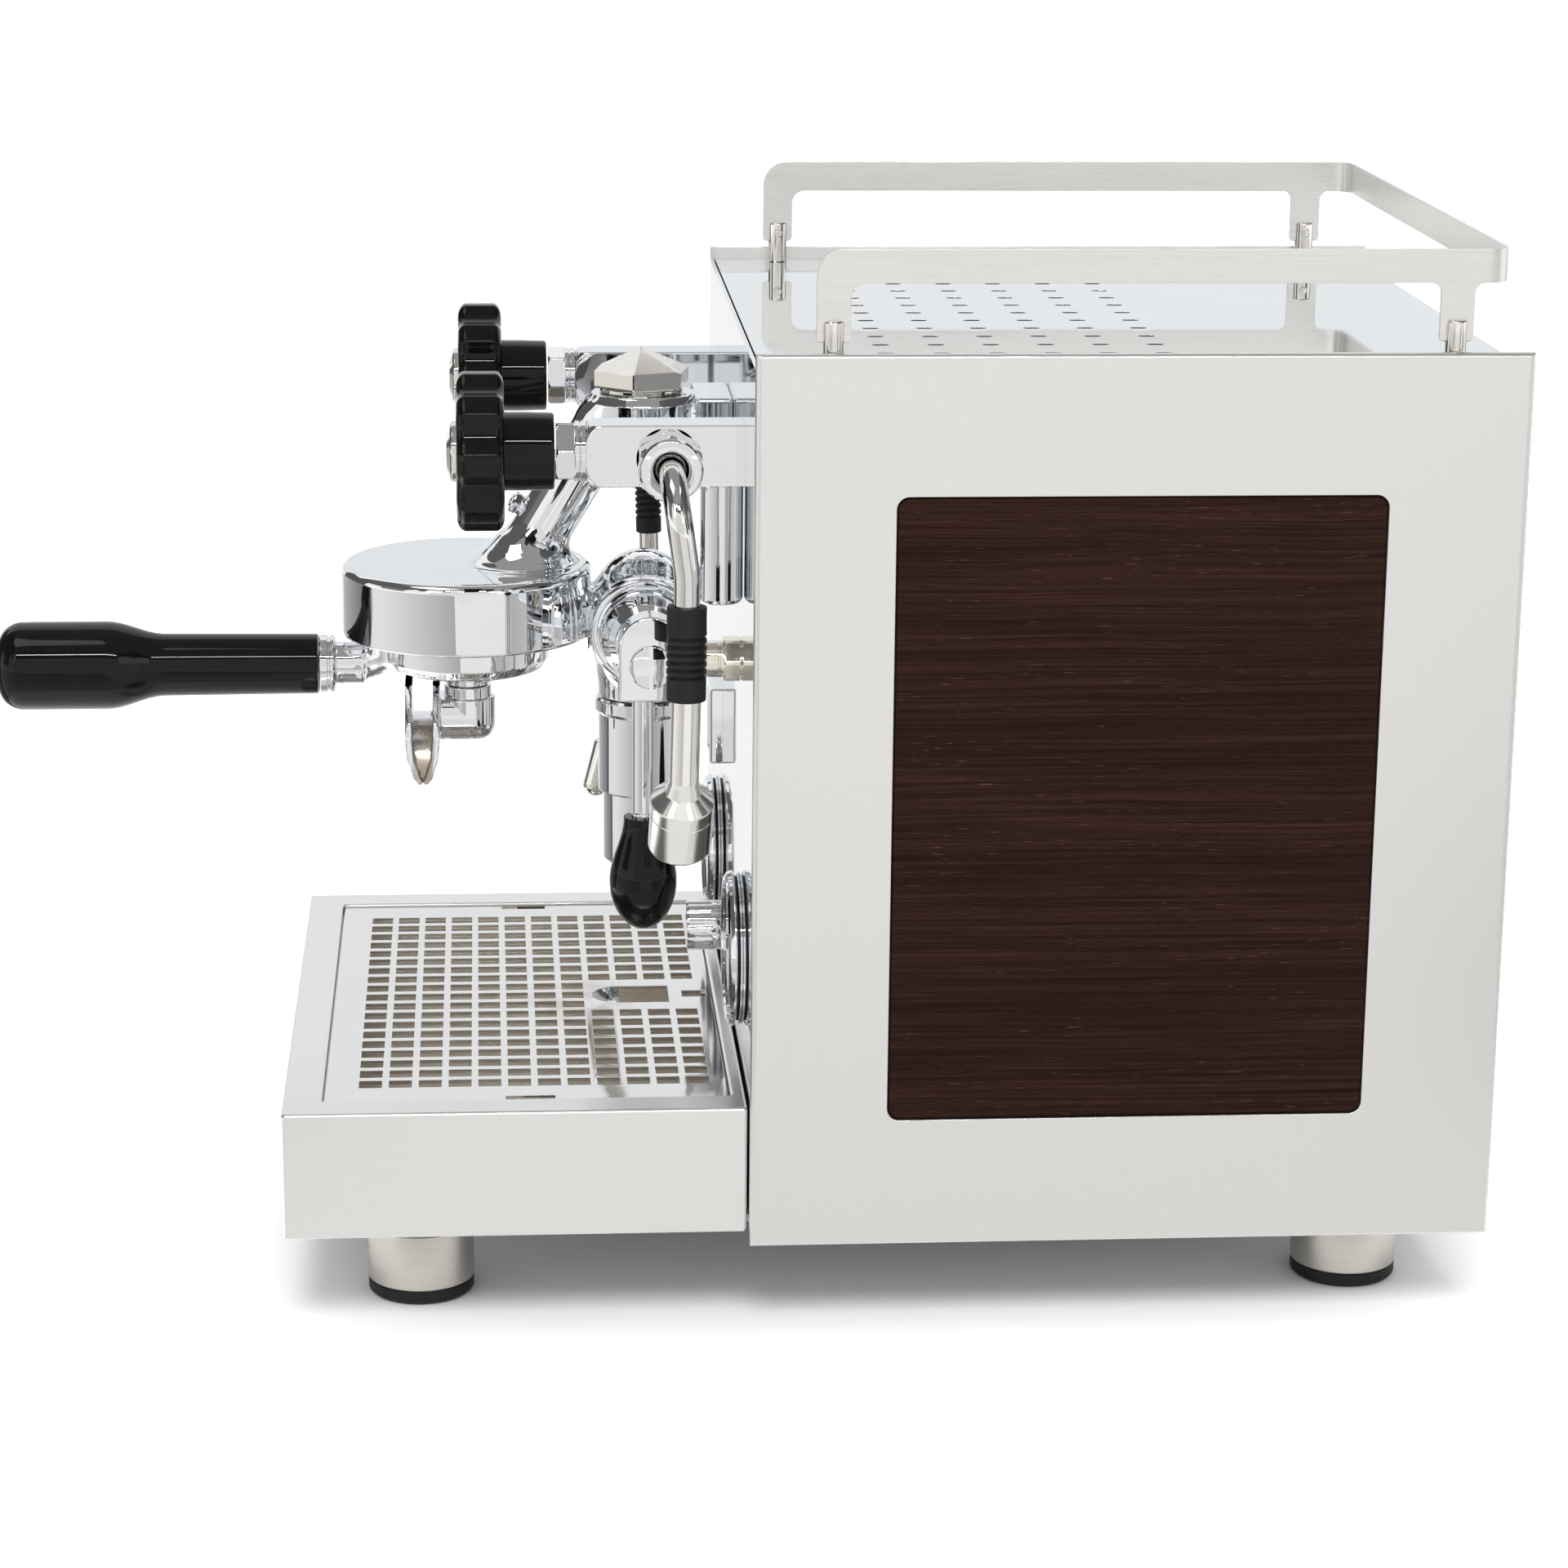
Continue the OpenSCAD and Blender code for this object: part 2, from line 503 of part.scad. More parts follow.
module portafilter_handle() color("black") put() translate([0, by, 222.3]) difference() {
  union() {
    rotate([90, 0, 0]) rotate_extrude() polygon(concat([[0, 57.2]], [[11.4, 57.2], [11.9, 58]],
      [for (i = [0 : 10]) [11.9 + 0.5 * i / 10, 58 + 58 * i / 10]],
      [for (i = [1 : 12]) let (t = i / 12) [12.4 + 4.5 * (1 - cos(180 * t)) / 2, 116 + 22 * t]],
      [for (i = [1 : 4]) [16.9, 138 + 32 * i / 4]],
      [for (i = [1 : 9]) let (a = 10 * i) [16.9 - 9.5 * (1 - cos(a)), 170 + 9.5 * sin(a)]], [[0, 179.5]]));
  }
  ycyl(4.05, -112, -50);
}
module filter_basket() color("silver") put() translate([0, by, 0]) difference() {
  union() {
    translate([0, 0, 223.6]) cylinder(r = 29.2, h = 22.5);
    translate([0, 0, 246.02]) cylinder(r = 34.5, h = 0.8);
  }
  translate([0, 0, 224.4]) cylinder(r = 28.6, h = 30);
  for (r = [8, 16, 24], a = [0 : 30 : 330]) rotate([0, 0, a]) translate([r, 0, 220]) cylinder(r = 1.2, h = 10, $fn = 12);
}
module double_spout() color("silver") put() translate([0, by, 0]) {
  difference() {
    union() {
      translate([0, 0, 202.4]) cylinder(r = 10.7, h = 7);
      translate([0, 0, 209.3]) cylinder(r = 9.2, h = 4.55);
      translate([0, 0, 202.4]) ycyl(10.7, -10.9, 0);
      translate([0, 0, 202.4]) sphere(10.7);
    }
    translate([0, 0, 202.4]) { cylinder(r = 5, h = 20); sphere(5); ycyl(5, -16, 0); }
  }
  // open double trough
  intersection() {
    translate([0, 0, 180]) rotate([90, 0, 0]) translate([0, 0, 10.8]) difference() {
      rotate_extrude() square([37, 13.2]);
      translate([0, 0, 2.6]) rotate_extrude() translate([22.5, 0]) square([30, 8]);
      translate([0, 0, -1]) cylinder(r = 20, h = 20);
      translate([0, 22.4, -1]) cylinder(r = 5, h = 4);
    }
    box([-26.5, -30, 180], [26.5, 0, 218]);
    rotate([90, 0, 0]) translate([0, 190, 0]) cylinder(r = 28.6, h = 60);
    translate([-30, -17.4, 0]) rotate([90, 0, 90]) linear_extrude(60) polygon([[-6.7, 222],
      [-6.7, 198], [-5.8, 190], [-3.5, 182.5], [-1.5, 180], [1.5, 180], [3.5, 182.5],
      [5.8, 190], [6.7, 198], [6.7, 222]]);
  }
}
// ---------- star knobs ----------
module star(r) difference() {
  union() {
    ycyl(r - 2, -104.2, -102.2, r); ycyl(r, -102.21, -89.5); ycyl(r, -89.51, -86.9, r - 2.6);
    ycyl(14.2, -87, -70.2); ycyl(13.4, -70.21, -69);
    ycyl(3, -69.5, -50);
  }
  for (a = [0 : 360 / lobes : 359]) rotate([0, a + 22.5, 0]) translate([r + 7.4, 0, 0]) ycyl(10.6, -110, -80);
  ycyl(11.4, -106, -103);
}
module knob_cap() { ycyl(11, -106.2, -103.4); ycyl(7, -108.2, -106.19, 11); }
module water_knob() color("black") put() translate([vx, 0, vz]) star(knob_d / 2);
module steam_knob() color("black") put() translate([-vx, 0, vz]) star(knob_d / 2);
module water_knob_cap() color("silver") put() translate([vx, 0, vz]) knob_cap();
module steam_knob_cap() color("silver") put() translate([-vx, 0, vz]) knob_cap();
// ---------- wands ----------
// ball, short horizontal run and quarter bend, for a tube of radius r
module wand_top(r, tilt, run, k = 0) translate(bj) rotate([tilt, 0, 0]) {
  difference() { rotate([0, 90, 0]) sphere(6.4); translate([-8, 0, 0]) rotate([0, 90, 0]) cylinder(r = 10, h = 3.4); }
  translate([4, 0, 0]) rotate([0, 90, 0]) cylinder(r = r + k, h = 1 + 7 * k);
  translate([5, 0, -20]) rotate([90, 0, 0]) rotate_extrude(angle = 90) translate([20, 0]) circle(r);
  translate([25, 0, -20 - run]) cylinder(r = r + k, h = run + 7 * k);
}
module water_wand() color("silver") put() {
  wand_top(4.8, 8.1, 14.6);
  translate([126, -22.62, 282.85]) sphere(4.95);
  bar([126, -22.62, 282.85], [126, -22.93, 235], 4.8);
  bar([126, -22.9, 237.2], [126, -23.6, 207.5], 5.45);
  // nozzle, set at an angle under the straight tube
  translate([126, -23.6, 207.5]) rotate([-1.6, 27, 0]) {
    rotate_extrude() polygon([[0, 4.2], [3.5, 4.2], [5.0, 2.2], [5.6, -0.6], [6.7, -4.9], [11.55, -9.2], [11.7, -9.7], [11.7, -31.1], [10.4, -32.7], [0, -32.7]]);
  }
}
module water_grip() color("black") put() difference() {
  bar([126, -22.69, 272], [126, -22.91, 237.5], 7.2);
  bar([126, -22.68, 274], [126, -22.93, 235.5], 4.85);
}
module steam_wand() color("silver") put() {
  mirror([1, 0, 0]) wand_top(4.1, 1.2, 66.3, 0.08);
  translate([-126, -25.69, 230.82]) sphere(4.35);
  bar([-126, -25.69, 230.82], [-126, -44.9, 152], 4.1);
  bar([-126, -43.7, 158], [-126, -48.4, 139.5], 5.3);
  translate([-126, -48.4, 139.5]) sphere(5.5);
}
module steam_grip() color("black") put() translate([-126, bj[1], bj[2]]) rotate([1.2, 0, 0]) translate([0, 0, -69]) difference() {
  cylinder(r = 5.3, h = 32.7);
  translate([0, 0, -1]) cylinder(r = 4.2, h = 36);
}

chassis_base();
inner_frame();
foot_posts();
foot_pads();
right_side_panel();
left_side_panel();
right_wood_inlay();
left_wood_inlay();
front_panel();
rear_panel();
water_tank();
boiler();
heating_element();
inner_pipes();
pump();
control_box();
safety_valve();
power_inlet();
group_body();
group_cap_nut();
group_plug();
group_gasket();
shower_screen();
exhaust_tube();
cam_nut();
valve_bodies();
valve_bonnets();
wand_nuts();
hot_water_sleeve();
service_fitting();
display_bezel();
gauge_bezels();
gauge_cases();
gauge_lenses();
boiler_needle();
pump_needle();
power_knob();
cup_tray();
cup_rail();
rail_posts();
drip_box();
drip_basin();
drip_grate();
brew_lever();
lever_knob();
lever_screw();
brew_valve();
drain_valve();
portafilter();
portafilter_handle();
filter_basket();
double_spout();
water_knob();
steam_knob();
water_knob_cap();
steam_knob_cap();
water_wand();
steam_wand();
water_grip();
steam_grip();
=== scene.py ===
import json
import math
import bpy
import bmesh
import numpy as np
from mathutils import Vector, Matrix
from mathutils.geometry import tessellate_polygon


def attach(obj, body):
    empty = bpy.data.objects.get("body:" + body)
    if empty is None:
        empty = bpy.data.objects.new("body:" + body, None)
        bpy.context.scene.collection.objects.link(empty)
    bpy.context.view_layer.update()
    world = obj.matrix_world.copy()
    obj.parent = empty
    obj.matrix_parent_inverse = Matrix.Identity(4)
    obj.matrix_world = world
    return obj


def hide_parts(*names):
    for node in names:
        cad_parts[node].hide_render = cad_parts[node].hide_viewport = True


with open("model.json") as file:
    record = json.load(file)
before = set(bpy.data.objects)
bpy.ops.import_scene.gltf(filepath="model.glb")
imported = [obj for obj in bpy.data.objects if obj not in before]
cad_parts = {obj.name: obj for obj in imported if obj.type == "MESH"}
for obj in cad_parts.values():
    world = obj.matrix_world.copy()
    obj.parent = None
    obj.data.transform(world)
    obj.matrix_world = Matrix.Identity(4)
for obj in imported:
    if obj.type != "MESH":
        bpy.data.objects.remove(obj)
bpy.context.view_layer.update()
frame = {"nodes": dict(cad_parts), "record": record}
RECORD = frame["record"]
REST_OF = {s["node"]: s["material_slot"] for s in RECORD["subparts"]}
SCENE = bpy.context.scene
pi = math.pi

# ------------------------------------------------------------------
# geometry helpers: everything below is in design millimetres, the row
# frame is the same thing moved by +3 mm in y and divided by 1000
# ------------------------------------------------------------------
SHIFT = np.array([0.0, 3.0, 0.0])


def T(v):
    return (np.asarray(v, float) + SHIFT) / 1000.0


def fillet(pts, closed=False, seg=6):
    """Round the corners of a polyline of (a, b[, c], r) tuples given as ((coords), r)."""
    P = [(np.array(p, float), r) for p, r in pts]
    n = len(P)
    out = []
    for i, (b, r) in enumerate(P):
        if r <= 0 or (not closed and i in (0, n - 1)):
            out.append(b)
            continue
        a, ra = P[i - 1]
        c, rc = P[(i + 1) % n]
        u, v = a - b, c - b
        lu, lv = np.linalg.norm(u), np.linalg.norm(v)
        u, v = u / lu, v / lv
        ang = math.acos(float(np.clip(np.dot(u, v), -1, 1)))
        if abs(pi - ang) < 1e-3 or ang < 1e-3:
            out.append(b)
            continue
        t = r / math.tan(ang / 2)
        t = min(t, lu * (0.499 if ra > 0 else 0.98), lv * (0.499 if rc > 0 else 0.98))
        r = t * math.tan(ang / 2)
        bis = (u + v) / np.linalg.norm(u + v)
        cen = b + bis * (r / math.sin(ang / 2))
        e1 = (b + u * t - cen) / r
        e2 = (b + v * t - cen) / r
        sweep = math.acos(float(np.clip(np.dot(e1, e2), -1, 1)))
        k = max(2, int(math.ceil(seg * sweep / (pi / 2))))
        for j in range(k + 1):
            s = j / k
            out.append(cen + r * (math.sin((1 - s) * sweep) * e1 + math.sin(s * sweep) * e2) / math.sin(sweep))
    return np.array(out)


def prof(*pts, seg=6):
    """Profile from (r, h) or (r, h, fillet) tuples."""
    return fillet([((p[0], p[1]), p[2] if len(p) > 2 else 0) for p in pts], seg=seg)


def prof_closed(*pts, seg=6):
    return fillet([((p[0], p[1]), p[2] if len(p) > 2 else 0) for p in pts], closed=True, seg=seg)


def lathe(P, n=96, closed=False, ph=0.0):
    """Revolve (r, h) about local z. Points at r=0 become poles. Order up the outside gives outward normals."""
    P = np.asarray(P, float)
    V, rows = [], []
    th = np.arange(n) * 2 * pi / n + ph
    for r, h in P:
        if r < 1e-6:
            rows.append([len(V)])
            V.append((0, 0, h))
        else:
            rows.append(list(range(len(V), len(V) + n)))
            V += [(r * math.cos(t), r * math.sin(t), h) for t in th]
    F = []
    m = len(P)
    for i in range(m if closed else m - 1):
        a, b = rows[i], rows[(i + 1) % m]
        if len(a) == 1 and len(b) == 1:
            continue
        for j in range(n):
            k = (j + 1) % n
            if len(a) == 1:
                F.append((a[0], b[k], b[j]))
            elif len(b) == 1:
                F.append((a[j], a[k], b[0]))
            else:
                F.append((a[j], a[k], b[k], b[j]))
    return np.array(V, float), F


def polar(fr, hs, n=180, cap0=True, cap1=True):
    """Rows of r = fr(theta array, h) about local z."""
    th = np.arange(n) * 2 * pi / n
    V = []
    for h in hs:
        r = fr(th, h) * np.ones(n)
        V.append(np.stack([r * np.cos(th), r * np.sin(th), np.full(n, float(h))], 1))
    V = np.concatenate(V)
    F = []
    for i in range(len(hs) - 1):
        for j in range(n):
            k = (j + 1) % n
            F.append((i * n + j, i * n + k, (i + 1) * n + k, (i + 1) * n + j))
    if cap0:
        V = np.vstack([V, [0, 0, hs[0]]])
        c = len(V) - 1
        F += [(c, (j + 1) % n, j) for j in range(n)]
    if cap1:
        V = np.vstack([V, [0, 0, hs[-1]]])
        c = len(V) - 1
        o = (len(hs) - 1) * n
        F += [(c, o + j, o + (j + 1) % n) for j in range(n)]
    return V, F


def ngon_r(th, sides, apothem, ph=0.0, rnd=0.6):
    """Radius of a regular polygon with one vertex at angle ph."""
    a = (th - ph) % (2 * pi / sides) - pi / sides
    r = apothem / np.cos(a)
    top = apothem / math.cos(pi / sides)
    return smin(r, np.full_like(r, top - 0.25 * rnd), rnd)


def smin(a, b, k):
    h = np.maximum(k - np.abs(a - b), 0) / k
    return np.minimum(a, b) - h * h * k / 4


def smax(a, b, k):
    return -smin(-a, -b, k)


AX = {"z": np.eye(3), "-y": np.array([[1, 0, 0], [0, 0, -1], [0, 1, 0]], float),
      "y": np.array([[-1, 0, 0], [0, 0, 1], [0, 1, 0]], float),
      "x": np.array([[0, 0, 1], [0, 1, 0], [-1, 0, 0]], float),
      "-x": np.array([[0, 0, -1], [0, 1, 0], [1, 0, 0]], float),
      "-z": np.array([[1, 0, 0], [0, -1, 0], [0, 0, -1]], float)}


def at(mesh, origin=(0, 0, 0), axis="z"):
    V, F = mesh
    M = AX[axis] if isinstance(axis, str) else np.asarray(axis, float)
    return V @ M.T + np.asarray(origin, float), F


def basis(z, x=(0, 0, 1)):
    z = np.asarray(z, float) / np.linalg.norm(z)
    x = np.asarray(x, float)
    if abs(np.dot(x / np.linalg.norm(x), z)) > 0.95:
        x = np.array([1.0, 0, 0])
    y = np.cross(z, x)
    y /= np.linalg.norm(y)
    x = np.cross(y, z)
    return np.stack([x, y, z], 1)


def mirror_x(mesh):
    V, F = mesh
    V = V.copy()
    V[:, 0] *= -1
    return V, [tuple(reversed(f)) for f in F]


def join(*meshes):
    V, F, o = [], [], 0
    for v, f in meshes:
        V.append(v)
        F += [tuple(i + o for i in q) for q in f]
        o += len(v)
    return np.vstack(V), F


def offset_loop(L, d):
    """Offset a closed 2D loop outward (counter-clockwise) by d along its mitres."""
    n = len(L)
    prv, nxt = np.roll(L, 1, 0), np.roll(L, -1, 0)
    e1 = L - prv
    e2 = nxt - L
    e1 /= np.maximum(np.linalg.norm(e1, axis=1, keepdims=True), 1e-9)
    e2 /= np.maximum(np.linalg.norm(e2, axis=1, keepdims=True), 1e-9)
    n1 = np.stack([e1[:, 1], -e1[:, 0]], 1)
    n2 = np.stack([e2[:, 1], -e2[:, 0]], 1)
    m = n1 + n2
    m /= np.maximum(np.linalg.norm(m, axis=1, keepdims=True), 1e-9)
    c = np.clip((m * n1).sum(1), 0.4, 1)
    return L + m * (d / c)[:, None]


def ccw(L):
    L = np.asarray(L, float)
    x, y = L[:, 0], L[:, 1]
    a = (x * np.roll(y, -1) - np.roll(x, -1) * y).sum()
    return L if a > 0 else L[::-1]


def plate(outer, holes, z0, z1, bev=0.2, seg=2, hole_bev=None):
    """Flat plate with holes, edges rounded on both faces, local z through the thickness."""
    hb = bev if hole_bev is None else hole_bev
    loops = [(ccw(outer), -1, bev)] + [(ccw(h)[::-1], 1, hb) for h in holes]
    V, F = [], []
    tops, bots = [], []
    o = 0
    for L, sgn, b in loops:
        rows = []
        if b > 0:
            for k in range(seg + 1):
                a = (pi / 2) * k / seg
                rows.append((b * (1 - math.sin(a)), z0 + b * (1 - math.cos(a))))
            for k in range(seg + 1):
                a = (pi / 2) * (1 - k / seg)
                rows.append((b * (1 - math.sin(a)), z1 - b * (1 - math.cos(a))))
        else:
            rows = [(0, z0), (0, z1)]
        n = len(L)
        start = o
        for ins, z in rows:
            # every loop runs with material on its left, so the outward side is its right
            Lo = offset_loop(L, -ins) if ins > 1e-9 else L
            V.append(np.column_stack([Lo, np.full(n, z)]))
        for i in range(len(rows) - 1):
            for j in range(n):
                k = (j + 1) % n
                F.append((start + i * n + j, start + i * n + k, start + (i + 1) * n + k, start + (i + 1) * n + j))
        bots.append((start, n))
        tops.append((start + (len(rows) - 1) * n, n))
        o += len(rows) * n
    V = np.vstack(V)
    for groups, flip in ((tops, False), (bots, True)):
        polys = [[Vector((V[s + i][0], V[s + i][1], 0)) for i in range(n)] for s, n in groups]
        idx = [s + i for s, n in groups for i in range(n)]
        for t in tessellate_polygon(polys):
            q = [idx[i] for i in t]
            a, b, c = (V[i] for i in q)
            up = (b[0] - a[0]) * (c[1] - a[1]) - (b[1] - a[1]) * (c[0] - a[0])
            if abs(up) < 1e-12:
                continue
            if (up > 0) == flip:
                q.reverse()
            F.append(tuple(q))
    return V, F


def tube(path, rad, n=40, cap=True, ph=0.0, section=None):
    """Sweep a circle (or a closed 2D section) along a 3D path."""
    P = np.asarray(path, float)
    m = len(P)
    R = np.full(m, rad, float) if np.isscalar(rad) else np.asarray(rad, float)
    t = np.gradient(P, axis=0)
    t[0], t[-1] = P[1] - P[0], P[-1] - P[-2]
    t /= np.linalg.norm(t, axis=1, keepdims=True)
    B = basis(t[0], (1, 0, 0) if abs(t[0][0]) < 0.9 else (0, 0, 1))
    x = B[:, 0]
    V, F = [], []
    if section is None:
        th = np.arange(n) * 2 * pi / n + ph
        S = np.stack([np.cos(th), np.sin(th)], 1)
    else:
        S = np.asarray(section, float)
        n = len(S)
    for i in range(m):
        if i:
            x = x - t[i] * np.dot(x, t[i])
            x /= np.linalg.norm(x)
        y = np.cross(t[i], x)
        k = R[i] if section is None else 1.0
        V.append(P[i] + k * (S[:, :1] * x + S[:, 1:] * y))
    V = np.vstack(V)
    for i in range(m - 1):
        for j in range(n):
            k = (j + 1) % n
            F.append((i * n + j, i * n + k, (i + 1) * n + k, (i + 1) * n + j))
    if cap:
        F.append(tuple(range(n - 1, -1, -1)))
        F.append(tuple((m - 1) * n + j for j in range(n)))
    return V, F


def resample(P, step):
    P = np.asarray(P, float)
    out = [P[0]]
    for a, b in zip(P[:-1], P[1:]):
        k = max(1, int(round(np.linalg.norm(b - a) / step)))
        out += [a + (b - a) * i / k for i in range(1, k + 1)]
    return np.array(out)


def rrect_loop(cx, cy, hx, hy, r, seg=5):
    out = []
    for sx, sy, a0 in ((1, 1, 0), (-1, 1, 90), (-1, -1, 180), (1, -1, 270)):
        for k in range(seg + 1):
            a = math.radians(a0 + 90 * k / seg)
            out.append((cx + sx * (hx - r) + r * math.cos(a), cy + sy * (hy - r) + r * math.sin(a)))
    return np.array(out)


def loft(loops, closed=True, cap0=False, cap1=False):
    n = len(loops[0])
    V = np.vstack(loops)
    m = len(loops)
    F = []
    for i in range(m if closed else m - 1):
        a, b = i * n, ((i + 1) % m) * n
        for j in range(n):
            k = (j + 1) % n
            F.append((a + j, a + k, b + k, b + j))
    if cap0:
        F.append(tuple(range(n - 1, -1, -1)))
    if cap1:
        F.append(tuple((m - 1) * n + j for j in range(n)))
    return V, F


def rbox(lo, hi, r=0.5, seg=3):
    """Box with all edges rounded."""
    lo, hi = np.array(lo, float), np.array(hi, float)
    bm = bmesh.new()
    bmesh.ops.create_cube(bm, size=1)
    for v in bm.verts:
        c = (np.array(v.co) + 0.5) * (hi - lo) + lo
        v.co = Vector(c)
    if r > 0:
        bmesh.ops.bevel(bm, geom=bm.edges[:], offset=r, segments=seg, profile=0.5, affect="EDGES")
    V = np.array([v.co[:] for v in bm.verts])
    F = [tuple(v.index for v in f.verts) for f in bm.faces]
    bm.free()
    return V, F


# signed distances ---------------------------------------------------
def sd_poly(P, poly):
    poly = np.asarray(poly, float)
    n = len(poly)
    d = np.full(len(P), 1e18)
    s = np.ones(len(P))
    for i in range(n):
        j = (i - 1) % n
        e = poly[j] - poly[i]
        w = P - poly[i]
        b = w - e * np.clip((w @ e) / max(e @ e, 1e-12), 0, 1)[:, None]
        d = np.minimum(d, (b * b).sum(1))
        c1 = P[:, 1] >= poly[i][1]
        c2 = P[:, 1] < poly[j][1]
        c3 = e[0] * w[:, 1] > e[1] * w[:, 0]
        flip = (c1 & c2 & c3) | (~c1 & ~c2 & ~c3)
        s[flip] *= -1
    return s * np.sqrt(d)


def sd_rev(P, origin, poly, axis="z", r=0.0):
    """Revolved polygon about an axis; r rounds it (polygon already shrunk by r)."""
    Q = P - np.asarray(origin, float)
    k = {"x": 0, "y": 1, "z": 2}[axis]
    o = [i for i in range(3) if i != k]
    return sd_poly(np.column_stack([np.hypot(Q[:, o[0]], Q[:, o[1]]), Q[:, k]]), poly) - r


def sd_cap(P, a, b, r, rd=0.0):
    """Cylinder between two points with flat, rounded ends."""
    a, b = np.array(a, float), np.array(b, float)
    L = np.linalg.norm(b - a)
    u = (b - a) / L
    w = P - a
    h = w @ u
    q = np.sqrt(np.maximum((w * w).sum(1) - h * h, 0))
    dx = q - (r - rd)
    dy = np.abs(h - L / 2) - (L / 2 - rd)
    return np.minimum(np.maximum(dx, dy), 0) + np.hypot(np.maximum(dx, 0), np.maximum(dy, 0)) - rd


def sd_box(P, lo, hi, rd=0.0):
    lo, hi = np.array(lo, float), np.array(hi, float)
    q = np.abs(P - (lo + hi) / 2) - (hi - lo) / 2 + rd
    return np.linalg.norm(np.maximum(q, 0), axis=1) + np.minimum(q.max(1), 0) - rd


def sdf_mesh(f, lo, hi, h):
    """Surface nets of f on a grid, points pulled on to the surface, normals from the gradient."""
    lo, hi = np.array(lo, float), np.array(hi, float)
    n = np.ceil((hi - lo) / h).astype(int) + 1
    c = 4
    nc = (n + c - 1) // c + 1
    g = np.stack(np.meshgrid(*[lo[i] + h * c * np.arange(nc[i]) for i in range(3)], indexing="ij"), -1)
    Fc = f(g.reshape(-1, 3)).reshape(nc)
    up = np.repeat(np.repeat(np.repeat(Fc, c, 0), c, 1), c, 2)[: n[0], : n[1], : n[2]]
    F = up.astype(np.float64)
    act = np.argwhere(np.abs(up) < 10 * h)
    F[act[:, 0], act[:, 1], act[:, 2]] = f(lo + h * act)
    S = F < 0
    cnt = np.zeros(np.array(S.shape) - 1, np.uint8)
    offs = [(i, j, k) for i in (0, 1) for j in (0, 1) for k in (0, 1)]
    for o in offs:
        cnt += S[o[0]: S.shape[0] - 1 + o[0], o[1]: S.shape[1] - 1 + o[1], o[2]: S.shape[2] - 1 + o[2]]
    cells = np.argwhere((cnt > 0) & (cnt < 8))
    idx = np.full(cnt.shape, -1, np.int64)
    idx[cells[:, 0], cells[:, 1], cells[:, 2]] = np.arange(len(cells))
    val = {o: F[cells[:, 0] + o[0], cells[:, 1] + o[1], cells[:, 2] + o[2]] for o in offs}
    acc = np.zeros((len(cells), 3))
    k = np.zeros(len(cells))
    for a in offs:
        for ax in range(3):
            if a[ax] == 0:
                b = tuple(1 if i == ax else a[i] for i in range(3))
                fa, fb = val[a], val[b]
                m = (fa < 0) != (fb < 0)
                t = fa[m] / (fa[m] - fb[m])
                acc[m] += np.array(a, float)
                acc[m, ax] += t
                k[m] += 1
    V = (cells + acc / k[:, None]) * h + lo
    quads = []
    for ax in range(3):
        b, c2 = (ax + 1) % 3, (ax + 2) % 3
        s0 = np.take(S, range(S.shape[ax] - 1), ax)
        s1 = np.take(S, range(1, S.shape[ax]), ax)
        e = np.argwhere(s0 != s1)
        e = e[(e[:, b] > 0) & (e[:, c2] > 0) & (e[:, b] < S.shape[b] - 1) & (e[:, c2] < S.shape[c2] - 1)]
        inside = S[e[:, 0], e[:, 1], e[:, 2]]

        def cell(db, dc):
            q = e.copy()
            q[:, b] -= db
            q[:, c2] -= dc
            return idx[q[:, 0], q[:, 1], q[:, 2]]

        A, B, C, D = cell(1, 1), cell(0, 1), cell(0, 0), cell(1, 0)
        q = np.stack([A, B, C, D], 1)
        q[~inside] = q[~inside][:, ::-1]
        quads.append(q)
    Q = np.vstack(quads)
    e = 0.05

    def grad(p, e):
        return np.stack([(f(p + d) - f(p - d)) / (2 * e) for d in np.eye(3) * e], 1)

    for _ in range(3):
        gr = grad(V, e)
        step = f(V)[:, None] * gr / np.maximum((gr * gr).sum(1), 0.05)[:, None]
        L = np.linalg.norm(step, axis=1, keepdims=True)
        V = V - step * np.minimum(1, 0.4 * h / np.maximum(L, 1e-9))
    nr = grad(V, 0.12)
    nr /= np.maximum(np.linalg.norm(nr, axis=1, keepdims=True), 1e-9)
    return V, Q, nr


def add(name, mesh, mat, body, replaces=(), angle=33, normals=None, weighted=True):
    V, F = mesh
    me = bpy.data.meshes.new(name)
    P = T(V)
    if isinstance(F, np.ndarray):
        me.vertices.add(len(P))
        me.vertices.foreach_set("co", P.ravel())
        me.loops.add(F.size)
        me.loops.foreach_set("vertex_index", F.ravel().astype(np.int32))
        me.polygons.add(len(F))
        me.polygons.foreach_set("loop_start", np.arange(0, F.size, 4, dtype=np.int32))
        me.update(calc_edges=True)
        me.validate()
    else:
        me.from_pydata([tuple(p) for p in P], [], F)
        me.validate()
        me.update()
    me.polygons.foreach_set("use_smooth", np.ones(len(me.polygons), bool))
    mats = mat if isinstance(mat, (list, tuple)) else [mat]
    for m in mats:
        me.materials.append(m)
    ob = bpy.data.objects.new(name, me)
    SCENE.collection.objects.link(ob)
    if normals is not None:
        me.normals_split_custom_set_from_vertices([tuple(q) for q in normals])
    else:
        me.set_sharp_from_angle(angle=math.radians(angle))
        if weighted:
            w = ob.modifiers.new("weighted", "WEIGHTED_NORMAL")
            w.keep_sharp = True
            w.weight = 80
    me.update()
    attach(ob, body)
    if replaces:
        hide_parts(*replaces)
    return ob


